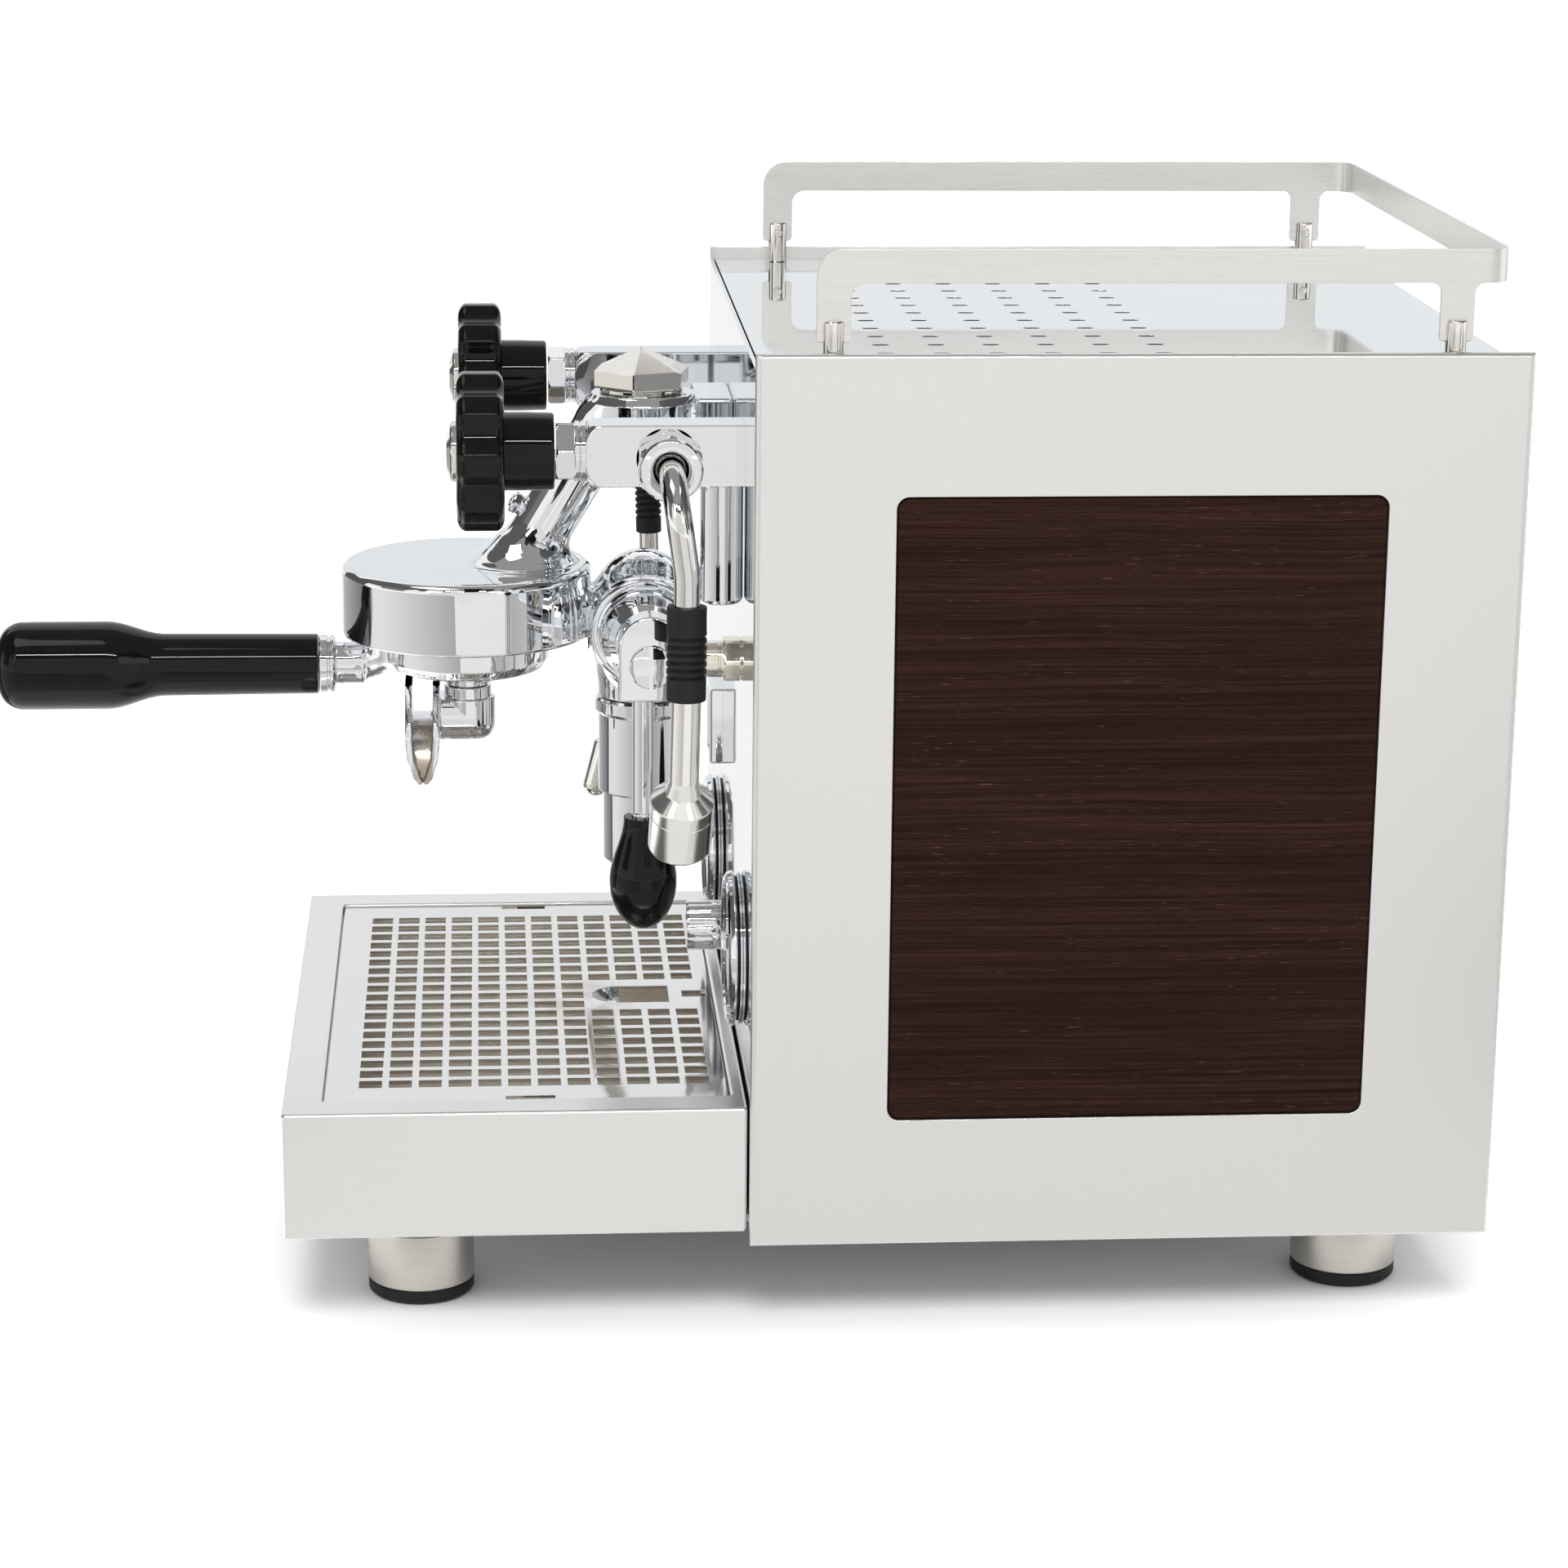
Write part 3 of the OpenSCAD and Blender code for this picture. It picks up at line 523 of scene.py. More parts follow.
# ------------------------------------------------------------------
# materials
# ------------------------------------------------------------------
class Nodes:
    """Small builder around one material's node tree."""

    def __init__(self, name):
        self.m = bpy.data.materials.new(name)
        self.m.use_nodes = True
        self.t = self.m.node_tree
        self.t.nodes.clear()
        self.out = self.t.nodes.new("ShaderNodeOutputMaterial")
        self.b = self.t.nodes.new("ShaderNodeBsdfPrincipled")
        self.link(self.b.outputs[0], self.out.inputs["Surface"])
        self.co = self.t.nodes.new("ShaderNodeTexCoord").outputs["Object"]

    def link(self, a, b):
        self.t.links.new(a, b)

    def new(self, kind, **props):
        n = self.t.nodes.new("ShaderNode" + kind)
        for k, v in props.items():
            setattr(n, k, v)
        return n

    def put(self, sock, v):
        if hasattr(v, "is_linked") or hasattr(v, "links"):
            self.link(v, sock)
        else:
            sock.default_value = v

    def map(self, scale=(1, 1, 1), loc=(0, 0, 0), rot=(0, 0, 0), src=None):
        n = self.new("Mapping")
        self.link(src or self.co, n.inputs["Vector"])
        n.inputs["Scale"].default_value = scale
        n.inputs["Location"].default_value = loc
        n.inputs["Rotation"].default_value = rot
        return n.outputs[0]

    def noise(self, vec, scale=1.0, detail=3.0, rough=0.5, distortion=0.0):
        n = self.new("TexNoise")
        self.link(vec, n.inputs["Vector"])
        n.inputs["Scale"].default_value = scale
        n.inputs["Detail"].default_value = detail
        n.inputs["Roughness"].default_value = rough
        n.inputs["Distortion"].default_value = distortion
        return n.outputs[0]

    def ramp(self, fac, stops, interp="LINEAR"):
        n = self.new("ValToRGB")
        n.color_ramp.interpolation = interp
        el = n.color_ramp.elements
        while len(el) > 1:
            el.remove(el[-1])
        for i, (p, c) in enumerate(stops):
            e = el[0] if i == 0 else el.new(p)
            e.position = p
            e.color = (c, c, c, 1) if np.isscalar(c) else (*c, 1)
        self.link(fac, n.inputs[0])
        return n.outputs[0]

    def rng(self, v, a, b, c, d, clamp=True):
        n = self.new("MapRange")
        n.clamp = clamp
        self.link(v, n.inputs[0])
        for i, x in enumerate((a, b, c, d)):
            n.inputs[i + 1].default_value = x
        return n.outputs[0]

    def math(self, op, a, b=0.0, clamp=False):
        n = self.new("Math", operation=op, use_clamp=clamp)
        self.put(n.inputs[0], a)
        self.put(n.inputs[1], b)
        return n.outputs[0]

    def mix(self, fac, a, b, mode="MIX"):
        n = self.new("Mix", data_type="RGBA", blend_type=mode)
        self.put(n.inputs[0], fac)
        self.put(n.inputs[6], a if not isinstance(a, tuple) else (*a, 1)[:4])
        self.put(n.inputs[7], b if not isinstance(b, tuple) else (*b, 1)[:4])
        return n.outputs[2]

    def bump(self, height, strength, dist, normal=None):
        n = self.new("Bump")
        n.inputs["Strength"].default_value = strength
        n.inputs["Distance"].default_value = dist
        self.link(height, n.inputs["Height"])
        if normal is not None:
            self.link(normal, n.inputs["Normal"])
        return n.outputs[0]

    def set(self, **kw):
        names = {"color": "Base Color", "metal": "Metallic", "rough": "Roughness", "normal": "Normal", "ior": "IOR",
                 "coat": "Coat Weight", "coat_rough": "Coat Roughness", "spec": "Specular IOR Level",
                 "trans": "Transmission Weight", "alpha": "Alpha", "aniso": "Anisotropic", "aniso_rot": "Anisotropic Rotation",
                 "sheen": "Sheen Weight", "tangent": "Tangent", "sub": "Subsurface Weight"}
        for k, v in kw.items():
            s = self.b.inputs[names[k]]
            if isinstance(v, tuple):
                v = (*v, 1)[:4]
            self.put(s, v)
        return self.m


def metal(name, color, r0, r1, patch=60.0, bump=0.00002, tint=0.03, streak=None):
    """Polished metal: slightly uneven roughness, faint smudges, a trace of waviness."""
    n = Nodes(name)
    a = n.noise(n.map((patch,) * 3), 1.0, 5, 0.6)
    fine = n.noise(n.map((2600,) * 3), 1.0, 2, 0.5)
    r = n.rng(a, 0.35, 0.7, r0, r1)
    if streak:
        s = n.noise(n.map(streak), 1.0, 3, 0.6)
        r = n.math("ADD", r, n.rng(s, 0.3, 0.75, -0.02, 0.05))
    c = n.mix(n.rng(a, 0.3, 0.75, 0, 1), color, tuple(x * (1 - tint) for x in color))
    h = n.math("ADD", n.noise(n.map((35,) * 3), 1.0, 2, 0.5), n.math("MULTIPLY", fine, 0.02))
    return n.set(color=c, metal=1.0, rough=r, normal=n.bump(h, 0.25, bump))


def brushed(name, color, lines, r0, r1, depth=0.000004, tint=0.05, aniso=0.0, aniso_rot=0.0, patch=(6, 6, 6)):
    """Brushed sheet: lines=(x, y, z) frequencies per metre, low along the brushing."""
    n = Nodes(name)
    l1 = n.noise(n.map(lines), 1.0, 4, 0.65)
    l2 = n.noise(n.map(tuple(x * 3.1 for x in lines), loc=(3.1, 1.7, 5.3)), 1.0, 3, 0.6)
    big = n.noise(n.map(patch), 1.0, 3, 0.5)
    mixl = n.math("ADD", n.math("MULTIPLY", l1, 0.6), n.math("MULTIPLY", l2, 0.4))
    r = n.math("ADD", n.rng(mixl, 0.3, 0.7, r0, r1), n.rng(big, 0.3, 0.7, -0.02, 0.02))
    c = n.mix(n.rng(mixl, 0.32, 0.68, 0, 1), tuple(x * (1 - tint) for x in color), tuple(min(1, x * (1 + tint)) for x in color))
    n.b.inputs["Anisotropic"].default_value = aniso
    n.b.inputs["Anisotropic Rotation"].default_value = aniso_rot
    return n.set(color=c, metal=1.0, rough=r, normal=n.bump(mixl, 0.5, depth))


def wood(name):
    n = Nodes(name)
    warp = n.noise(n.map((2, 9, 14)), 1.0, 2, 0.5)
    sep = n.new("SeparateXYZ")
    n.link(n.co, sep.inputs[0])
    z = n.math("ADD", sep.outputs[2], n.math("MULTIPLY", n.math("SUBTRACT", warp, 0.5), 0.0035))
    comb = n.new("CombineXYZ")
    n.link(sep.outputs[0], comb.inputs[0])
    n.link(sep.outputs[1], comb.inputs[1])
    n.link(z, comb.inputs[2])
    co = comb.outputs[0]
    line = n.noise(n.map((3, 6, 760), src=co), 1.0, 4, 0.62)
    fine = n.noise(n.map((3, 16, 2300), loc=(0, 3, 7), src=co), 1.0, 3, 0.6)
    band = n.noise(n.map((2, 2, 60), loc=(1, 8, 2), src=co), 1.0, 3, 0.55)
    v = n.math("ADD", n.math("MULTIPLY", line, 0.5), n.math("MULTIPLY", fine, 0.5))
    base = n.ramp(v, [(0.32, (0.0066, 0.0026, 0.0019)), (0.45, (0.0145, 0.0056, 0.0038)), (0.56, (0.0222, 0.0087, 0.0058)), (0.70, (0.038, 0.0157, 0.0098))])
    tone = n.rng(band, 0.3, 0.7, 0.84, 1.16)
    hsv = n.new("HueSaturation")
    n.link(base, hsv.inputs["Color"])
    n.link(tone, hsv.inputs["Value"])
    # pores: short pale dashes along the grain
    p = n.noise(n.map((3, 120, 2100), loc=(5, 2, 9), src=co), 1.0, 2, 0.5)
    gate = n.noise(n.map((3, 14, 90), loc=(7, 4, 1)), 1.0, 2, 0.5)
    pm = n.math("MULTIPLY", n.rng(p, 0.66, 0.76, 0, 0.75), n.rng(gate, 0.42, 0.62, 0.15, 1))
    dk = n.rng(n.noise(n.map((3, 90, 1900), loc=(11, 5, 3), src=co), 1.0, 2, 0.5), 0.64, 0.74, 0, 1)
    col = n.mix(pm, hsv.outputs[0], (0.105, 0.050, 0.030))
    col = n.mix(n.math("MULTIPLY", dk, 0.75), col, (0.0045, 0.0028, 0.0024))
    rough = n.rng(v, 0.3, 0.7, 0.36, 0.52)
    h = n.math("SUBTRACT", v, n.math("MULTIPLY", n.math("ADD", pm, dk), 0.6))
    return n.set(color=col, rough=rough, spec=0.05, normal=n.bump(h, 0.35, 0.0001))


def bakelite(name, base=0.0022, r0=0.035, r1=0.075):
    n = Nodes(name)
    a = n.noise(n.map((90,) * 3), 1.0, 5, 0.6)
    s = n.noise(n.map((260, 3200, 260)), 1.0, 2, 0.5)
    r = n.math("ADD", n.rng(a, 0.35, 0.7, r0, r1), n.rng(s, 0.6, 0.75, 0, 0.03))
    h = n.noise(n.map((55,) * 3), 1.0, 2, 0.5)
    c = n.mix(n.rng(a, 0.3, 0.7, 0, 1), (base, base, base * 1.05), (base * 1.8,) * 3)
    return n.set(color=c, rough=r, ior=1.5, spec=0.24, normal=n.bump(h, 0.2, 0.00003))


def rubber(name, base=0.0045, r=0.5):
    n = Nodes(name)
    a = n.noise(n.map((1500,) * 3), 1.0, 3, 0.6)
    b = n.noise(n.map((80,) * 3), 1.0, 3, 0.5)
    c = n.mix(n.rng(b, 0.3, 0.7, 0, 1), (base,) * 3, (base * 1.9,) * 3)
    return n.set(color=c, rough=n.rng(b, 0.3, 0.7, r - 0.08, r + 0.08), spec=0.3, normal=n.bump(a, 0.25, 0.00008))


def plastic(name, color, r=0.42, grain=0.00004):
    n = Nodes(name)
    a = n.noise(n.map((1800,) * 3), 1.0, 2, 0.5)
    b = n.noise(n.map((25,) * 3), 1.0, 3, 0.5)
    c = n.mix(n.rng(b, 0.3, 0.7, 0, 1), color, tuple(x * 0.86 for x in color))
    return n.set(color=c, rough=n.rng(b, 0.3, 0.7, r - 0.06, r + 0.06), normal=n.bump(a, 0.3, grain))


M_CHROME = metal("chrome", (0.815, 0.825, 0.84), 0.012, 0.045, 40, 0.00001)
M_CHROME2 = metal("chrome_turned", (0.80, 0.81, 0.825), 0.03, 0.08, 90, 0.00001)
M_NICKEL = metal("polished_nickel", (0.79, 0.765, 0.72), 0.06, 0.13, 120, 0.00001, 0.05)
M_TUBE = metal("drawn_tube", (0.78, 0.765, 0.74), 0.06, 0.14, 70, 0.00001, 0.05, streak=(900, 900, 40))
M_ALU = brushed("turned_aluminium", (0.91, 0.895, 0.86), (30, 30, 3600), 0.13, 0.20, 0.0000012, 0.015)
M_BRASS = metal("nickel_brass", (0.91, 0.85, 0.74), 0.07, 0.14, 160, 0.00001, 0.08)
M_PANEL = brushed("satin_panel", (0.81, 0.805, 0.787), (60, 5200, 36), 0.30, 0.40, 0.0000025, 0.018, patch=(3, 3, 3))
M_BOX = brushed("satin_tray_box", (0.86, 0.857, 0.842), (36, 60, 5200), 0.26, 0.36, 0.0000025, 0.02, patch=(4, 4, 4))
M_RAIL = brushed("brushed_rail", (0.80, 0.79, 0.765), (26, 26, 2600), 0.24, 0.42, 0.000012, 0.075)
M_GRATE = brushed("satin_grate", (0.82, 0.815, 0.80), (4200, 30, 800), 0.16, 0.26, 0.000002, 0.02)
M_MIRROR = metal("mirror_steel", (0.83, 0.845, 0.86), 0.02, 0.05, 14, 0.000006, 0.02)
M_FOOT = brushed("brushed_foot", (0.57, 0.54, 0.495), (40, 40, 4200), 0.22, 0.36, 0.00001, 0.07)
M_WOOD = wood("wenge")
M_BAKE = bakelite("bakelite")
M_RUBBER = rubber("rubber_grip")
M_PAD = rubber("rubber_pad", 0.004, 0.5)
M_BLACKP = plastic("black_plastic", (0.010, 0.010, 0.011))
M_DARK = metal("oxidised_steel", (0.20, 0.195, 0.19), 0.35, 0.55, 200, 0.00004, 0.3)
M_COPPER = metal("brazed_copper", (0.72, 0.40, 0.27), 0.22, 0.42, 50, 0.00003, 0.25)
M_GALV = metal("galvanised_sheet", (0.52, 0.53, 0.54), 0.32, 0.5, 130, 0.00002, 0.18)


def basin_steel():
    """Steel of the drip basin: coffee film and lime marks in noise patches."""
    n = Nodes("stained_basin")
    a = n.noise(n.map((22, 22, 60)), 1.0, 5, 0.6)
    b = n.noise(n.map((300, 300, 300)), 1.0, 3, 0.6)
    c = n.mix(n.rng(a, 0.35, 0.68, 0, 1), (0.86, 0.82, 0.765), (0.70, 0.645, 0.575))
    c = n.mix(n.rng(b, 0.6, 0.75, 0, 0.35), c, (0.30, 0.25, 0.20))
    return n.set(color=c, metal=1.0, rough=n.rng(a, 0.3, 0.7, 0.20, 0.38), normal=n.bump(b, 0.3, 0.00001))


def tank():
    n = Nodes("tank_plastic")
    a = n.noise(n.map((20, 20, 20)), 1.0, 3, 0.5)
    return n.set(color=n.mix(n.rng(a, 0.3, 0.7, 0, 1), (0.80, 0.85, 0.88), (0.74, 0.80, 0.84)), rough=n.rng(a, 0.3, 0.7, 0.25, 0.38), trans=0.6)


def glass():
    n = Nodes("gauge_glass")
    a = n.noise(n.map((60,) * 3), 1.0, 3, 0.5)
    return n.set(color=(0.97, 0.98, 0.98), rough=n.rng(a, 0.3, 0.7, 0.0, 0.03), trans=1.0, ior=1.15)


def dial():
    n = Nodes("dial_face")
    a = n.noise(n.map((400,) * 3), 1.0, 3, 0.5)
    return n.set(color=n.mix(n.rng(a, 0.3, 0.7, 0, 1), (0.86, 0.86, 0.85), (0.82, 0.82, 0.80)), rough=n.rng(a, 0.3, 0.7, 0.45, 0.55))


def ink():
    n = Nodes("dial_ink")
    a = n.noise(n.map((900,) * 3), 1.0, 2, 0.5)
    return n.set(color=n.mix(n.rng(a, 0.3, 0.7, 0, 1), (0.012, 0.012, 0.013), (0.03, 0.03, 0.03)), rough=n.rng(a, 0.3, 0.7, 0.4, 0.5))


def grate_steel():
    """Grate with a faint dried coffee mark around the middle, in front of the group."""
    n = Nodes("grate_steel")
    l1 = n.noise(n.map((4200, 34, 900)), 1.0, 4, 0.6)
    a = n.noise(n.map((70, 70, 70)), 1.0, 4, 0.6)
    d = n.new("VectorMath", operation="DISTANCE")
    n.link(n.map((1, 1.25, 0)), d.inputs[0])
    d.inputs[1].default_value = (0.006, (-0.060 + 0.003) * 1.25, 0)
    stain = n.math("MULTIPLY", n.rng(d.outputs["Value"], 0.012, 0.038, 1, 0), n.rng(a, 0.42, 0.6, 0, 1))
    base = n.mix(n.rng(l1, 0.32, 0.68, 0, 1), (0.80, 0.797, 0.785), (0.845, 0.842, 0.83))
    c = n.mix(n.math("MULTIPLY", stain, 0.55), base, (0.56, 0.47, 0.38))
    return n.set(color=c, metal=1.0, rough=n.math("ADD", n.rng(l1, 0.3, 0.7, 0.05, 0.11), n.math("MULTIPLY", stain, 0.15)), normal=n.bump(l1, 0.4, 0.000002))


def spout_steel():
    """Chrome with a dried coffee film on the faces inside the trough."""
    n = Nodes("spout_chrome")
    a = n.noise(n.map((170, 170, 70)), 1.0, 4, 0.6)
    sep = n.new("SeparateXYZ")
    n.link(n.co, sep.inputs[0])
    y = n.math("ABSOLUTE", n.math("ADD", sep.outputs[1], 0.1159))
    inside = n.math("MULTIPLY", n.rng(y, 0.0036, 0.0043, 1, 0), n.rng(sep.outputs[2], 0.2015, 0.1995, 0, 1))
    film = n.math("MULTIPLY", inside, n.rng(a, 0.3, 0.6, 0.25, 1))
    c = n.mix(n.math("MULTIPLY", film, 0.8), (0.81, 0.815, 0.83), (0.33, 0.24, 0.16))
    return n.set(color=c, metal=1.0, rough=n.math("ADD", n.rng(a, 0.3, 0.7, 0.02, 0.06), n.math("MULTIPLY", film, 0.3)))


def tray_steel():
    """Mirror-finished sheet; below its top face, on the punched slot walls and edges, the colour is painted near-black
    and rougher as painted shade inside the slots.
    """
    n = Nodes("tray_mirror")
    a = n.noise(n.map((14,) * 3), 1.0, 5, 0.6)
    sep = n.new("SeparateXYZ")
    n.link(n.co, sep.inputs[0])
    slot_shade = n.rng(sep.outputs[2], 0.35942, 0.35925, 0, 1)
    c = n.mix(n.rng(a, 0.3, 0.75, 0, 1), (0.83, 0.845, 0.86), (0.81, 0.825, 0.84))
    # painted shade: slot walls and edges below the top face are coloured near-black
    c = n.mix(slot_shade, c, (0.055, 0.045, 0.038))
    return n.set(color=c, metal=1.0, rough=n.math("ADD", n.rng(a, 0.35, 0.7, 0.02, 0.05), n.math("MULTIPLY", slot_shade, 0.4)), normal=n.bump(n.noise(n.map((35,) * 3), 1.0, 2, 0.5), 0.2, 0.000006))


M_BASIN = basin_steel()
M_TANK = tank()
M_GLASS = glass()
M_DIAL = dial()
M_INK = ink()
M_GRATE = grate_steel()
M_SPOUT = spout_steel()
M_TRAY = tray_steel()


# ------------------------------------------------------------------
# numbers shared with the CAD (design millimetres)
# ------------------------------------------------------------------
HW, ZB, ZT, DEPTH = 145.0, 35.0, 365.0, 275.0
TRAY = 359.6
GY, CZ, BY = -33.5, 238.0, -101.5
VX, VZ = 85.0, 320.6
BJ = np.array([101.0, -27.5, 317.1])
GX, GZ = 72.0, 127.5
RT = TRAY + 41.0
RX = HW - 7.2
LX = 70.0


# ---------------- side panels and inlays ----------------
def side_panel(s):
    def rect(x, iy, iz, r):
        L = rrect_loop(DEPTH / 2, (ZB + ZT) / 2, DEPTH / 2 - iy, (ZT - ZB) / 2 - iz, r, 4)
        return np.column_stack([np.full(len(L), x), L[:, 0], L[:, 1]])

    r, rz = 2.3, 1.5
    loops = []
    # hem's inner edge, its back face, the rolled edge and the flat outer face
    loops.append(rect(HW - 1.5, 8.0, 6.0, 0.3))
    loops.append(rect(HW - 2.9, 8.0, 6.0, 0.3))
    loops.append(rect(HW - 3.0, 7.9, 5.9, 0.3))
    loops.append(rect(HW - 3.0, 0.5, 0.4, 0.3))
    loops.append(rect(HW - 2.8, 0.15, 0.1, 0.3))
    loops.append(rect(HW - 2.5, 0.0, 0.0, 0.3))
    for k in range(0, 9):
        a = (pi / 2) * k / 8
        loops.append(rect(HW - r * (1 - math.sin(a)), r * (1 - math.cos(a)), rz * (1 - math.cos(a)), 0.3))
    V, F = loft(loops, closed=False)
    hole = rrect_loop(50 + 87.5, 83.5 + 115.5, 87.5, 115.5, 4.5, 8)
    n = len(hole)
    # outer face with the hole, a small rounded edge on it, and the inner face
    o = len(V)
    hl = []
    b = 0.35
    for k in range(4):
        a = (pi / 2) * k / 3
        g = offset_loop(hole, b * (1 - math.sin(a)))
        hl.append(np.column_stack([np.full(n, HW - b * (1 - math.cos(a))), g]))
    hl.append(np.column_stack([np.full(n, HW - 1.5), hole]))
    HV, HF = loft(hl, closed=False)
    HF = [tuple(reversed(f)) for f in HF]
    # hole rows: first row must be the wide one at the face
    rows = [np.column_stack([np.full(n, HW - b * (1 - math.cos((pi / 2) * k / 3))), offset_loop(hole, b * (1 - math.sin((pi / 2) * k / 3)))]) for k in range(4)]
    rows.append(np.column_stack([np.full(n, HW - 1.5), hole]))
    HV = np.vstack(rows)
    V = np.vstack([V, HV])
    for i in range(len(rows) - 1):
        for j in range(n):
            k = (j + 1) % n
            F.append((o + i * n + j, o + (i + 1) * n + j, o + (i + 1) * n + k, o + i * n + k))
    m = len(loops[0])
    outer = list(range((len(loops) - 1) * m, len(loops) * m))
    inner = list(range(0, m))
    h0 = list(range(o, o + n))
    h1 = list(range(o + (len(rows) - 1) * n, o + len(rows) * n))
    for a, bb, sign in ((outer, h0, 1), (inner, h1, -1)):
        polys = [[Vector((V[i][1], V[i][2], 0)) for i in a], [Vector((V[i][1], V[i][2], 0)) for i in bb]]
        ids = a + bb
        for t in tessellate_polygon(polys):
            q = [ids[i] for i in t]
            p0, p1, p2 = (V[i] for i in q)
            up = (p1[1] - p0[1]) * (p2[2] - p0[2]) - (p1[2] - p0[2]) * (p2[1] - p0[1])
            if (up > 0) != (sign > 0):
                q.reverse()
            F.append(tuple(q))
    return (V, F) if s > 0 else mirror_x((V, F))


def fix_normals(mesh):
    """Make all faces of a closed mesh point outwards."""
    V, F = mesh
    bm = bmesh.new()
    vs = [bm.verts.new(tuple(p)) for p in V]
    for f in F:
        try:
            bm.faces.new([vs[i] for i in f])
        except ValueError:
            pass
    bm.verts.index_update()
    bmesh.ops.remove_doubles(bm, verts=bm.verts[:], dist=1e-4)
    bmesh.ops.recalc_face_normals(bm, faces=bm.faces[:])
    V = np.array([v.co[:] for v in bm.verts])
    bm.verts.index_update()
    F = [tuple(v.index for v in f.verts) for f in bm.faces]
    bm.free()
    return V, F


def board(s):
    L = rrect_loop(50 + 87.5, 83.5 + 115.5, 87.5 - 0.65, 115.5 - 0.65, 4.0, 8)
    m = plate(L, [], HW - 1.6, HW - 0.4, 0.35, 3)
    V, F = m
    V = np.column_stack([V[:, 2], V[:, 0], V[:, 1]])
    B = rbox((HW - 5, 44, 77.5), (HW - 1.58, 231, 320.5), 0.4, 2)
    M = join((V, F), B)
    return M if s > 0 else mirror_x(M)


for s, nm in ((1, "right"), (-1, "left")):
    add(f"{nm}_panel_shell", fix_normals(side_panel(s)), M_PANEL, "machine", [f"{nm}_side_panel"])
    add(f"{nm}_wenge_board", fix_normals(board(s)), M_WOOD, "machine", [f"{nm}_wood_inlay"])

# ---------------- feet ----------------
feet, pads = [], []
for x in (-90, 90):
    for y in (-121, 233):
        top = ZB + (0.5 if y < 0 else 1)
        P = prof((0, 5.6), (19.6, 5.6, 0.4), (20, 6.2, 0.3), (20, 27.2, 0.8), (18.9, 28, 0.3), (12, 28, 0.3), (12, top), (0, top))
        feet.append(at(lathe(P, 96), (x, y, 0)))
        P = prof((0, 0), (18.3, 0, 1.0), (19.3, 0.9, 0.6), (19.9, 1.6, 0.4), (19.9, 5.2, 0.4), (19.5, 5.62), (0, 5.62))
        pads.append(at(lathe(P, 96), (x, y, 0)))
add("feet_turned", join(*feet), M_FOOT, "machine", ["foot_posts"])
add("feet_rubber", join(*pads), M_PAD, "machine", ["foot_pads"])

# ---------------- cup rail, posts ----------------
leg = fillet([((31.5 - 10, RT), 10), ((21.5, RT - 32.6), 1.5), ((33.5, RT - 32.6), 1.5), ((33.5, RT - 12), 5), ((241.4, RT - 12), 3.6),
              ((241.4, RT - 32.6), 1.5), ((253.6, RT - 32.6), 1.5), ((253.6, RT - 12), 3.6), ((257.6, RT - 12), 0), ((257.6, RT), 0)], closed=True, seg=10)
rail = []
V, F = plate(leg, [], -0.75, 0.75, 0.28, 2)
side = (np.column_stack([V[:, 2] + RX - 0.75, V[:, 0], V[:, 1]]), F)
rail += [side, mirror_x(side)]
sec = rrect_loop(0, 0, 0.745, 5.99, 0.28, 2)
mid = RX - 0.75
c = [(mid, 250, RT - 6), (mid, 266.5 - 0.75, RT - 6), (-mid, 266.5 - 0.75, RT - 6), (-mid, 250, RT - 6)]
P = fillet([(c[0], 0), (c[1], 8.25), (c[2], 8.25), (c[3], 0)], seg=14)
# section x is across the strip, section y is up
m = len(P)
t = np.gradient(P, axis=0)
t /= np.linalg.norm(t, axis=1, keepdims=True)
rows = [P[i] + sec[:, :1] * np.cross(t[i], (0, 0, 1)) + sec[:, 1:] * np.array([0, 0, 1.0]) for i in range(m)]
rail.append(loft(rows, closed=False, cap0=True, cap1=True))
add("rail_strip", fix_normals(join(*rail[:1])) if False else join(*[fix_normals(r) for r in rail]), M_RAIL, "cup_warmer", ["cup_rail"])

posts = []
for s in (-1, 1):
    for y in (27.5, 247.5):
        x0 = s * (RX - 0.75)
        # two cheeks either side of the strip, a solid foot, a screw on the inner face
        P = prof((0, TRAY), (3.5, TRAY, 0.2), (3.75, TRAY + 0.4, 0.2), (3.75, TRAY + 8.3, 0))
        posts.append(at(lathe(np.vstack([P, [[0, TRAY + 8.3]]]), 56), (x0, y, 0)))
        for q in (-1, 1):
            # cheek: half disc extruded, chamfered top
            th = np.linspace(-pi / 2, pi / 2, 25)
            def half(r):
                a = math.acos(min(1, 0.8 / r))
                tt = np.linspace(-a, a, 25)
                return np.column_stack([q * r * np.cos(tt), r * np.sin(tt)])
            rows = []
            for r, z in ((3.75, TRAY + 8.3), (3.75, TRAY + 15.3), (3.62, TRAY + 15.7), (3.3, TRAY + 16.0), (2.9, TRAY + 16.2)):
                h2 = half(r)
                rows.append(np.column_stack([h2[:, 0] + x0, h2[:, 1] + y, np.full(len(h2), z)]))
            posts.append(fix_normals(loft(rows, closed=False, cap0=True, cap1=True)))
        P = prof((0, 0), (1.7, 0), (1.7, 0.9, 0.4), (0, 1.1))
        sc = at(lathe(P, 32), (x0 - s * 3.45, y, TRAY + 12), "-x" if s > 0 else "x")
        posts.append(fix_normals(sc))
add("rail_post_set", join(*posts), M_NICKEL, "cup_warmer", ["rail_posts"])

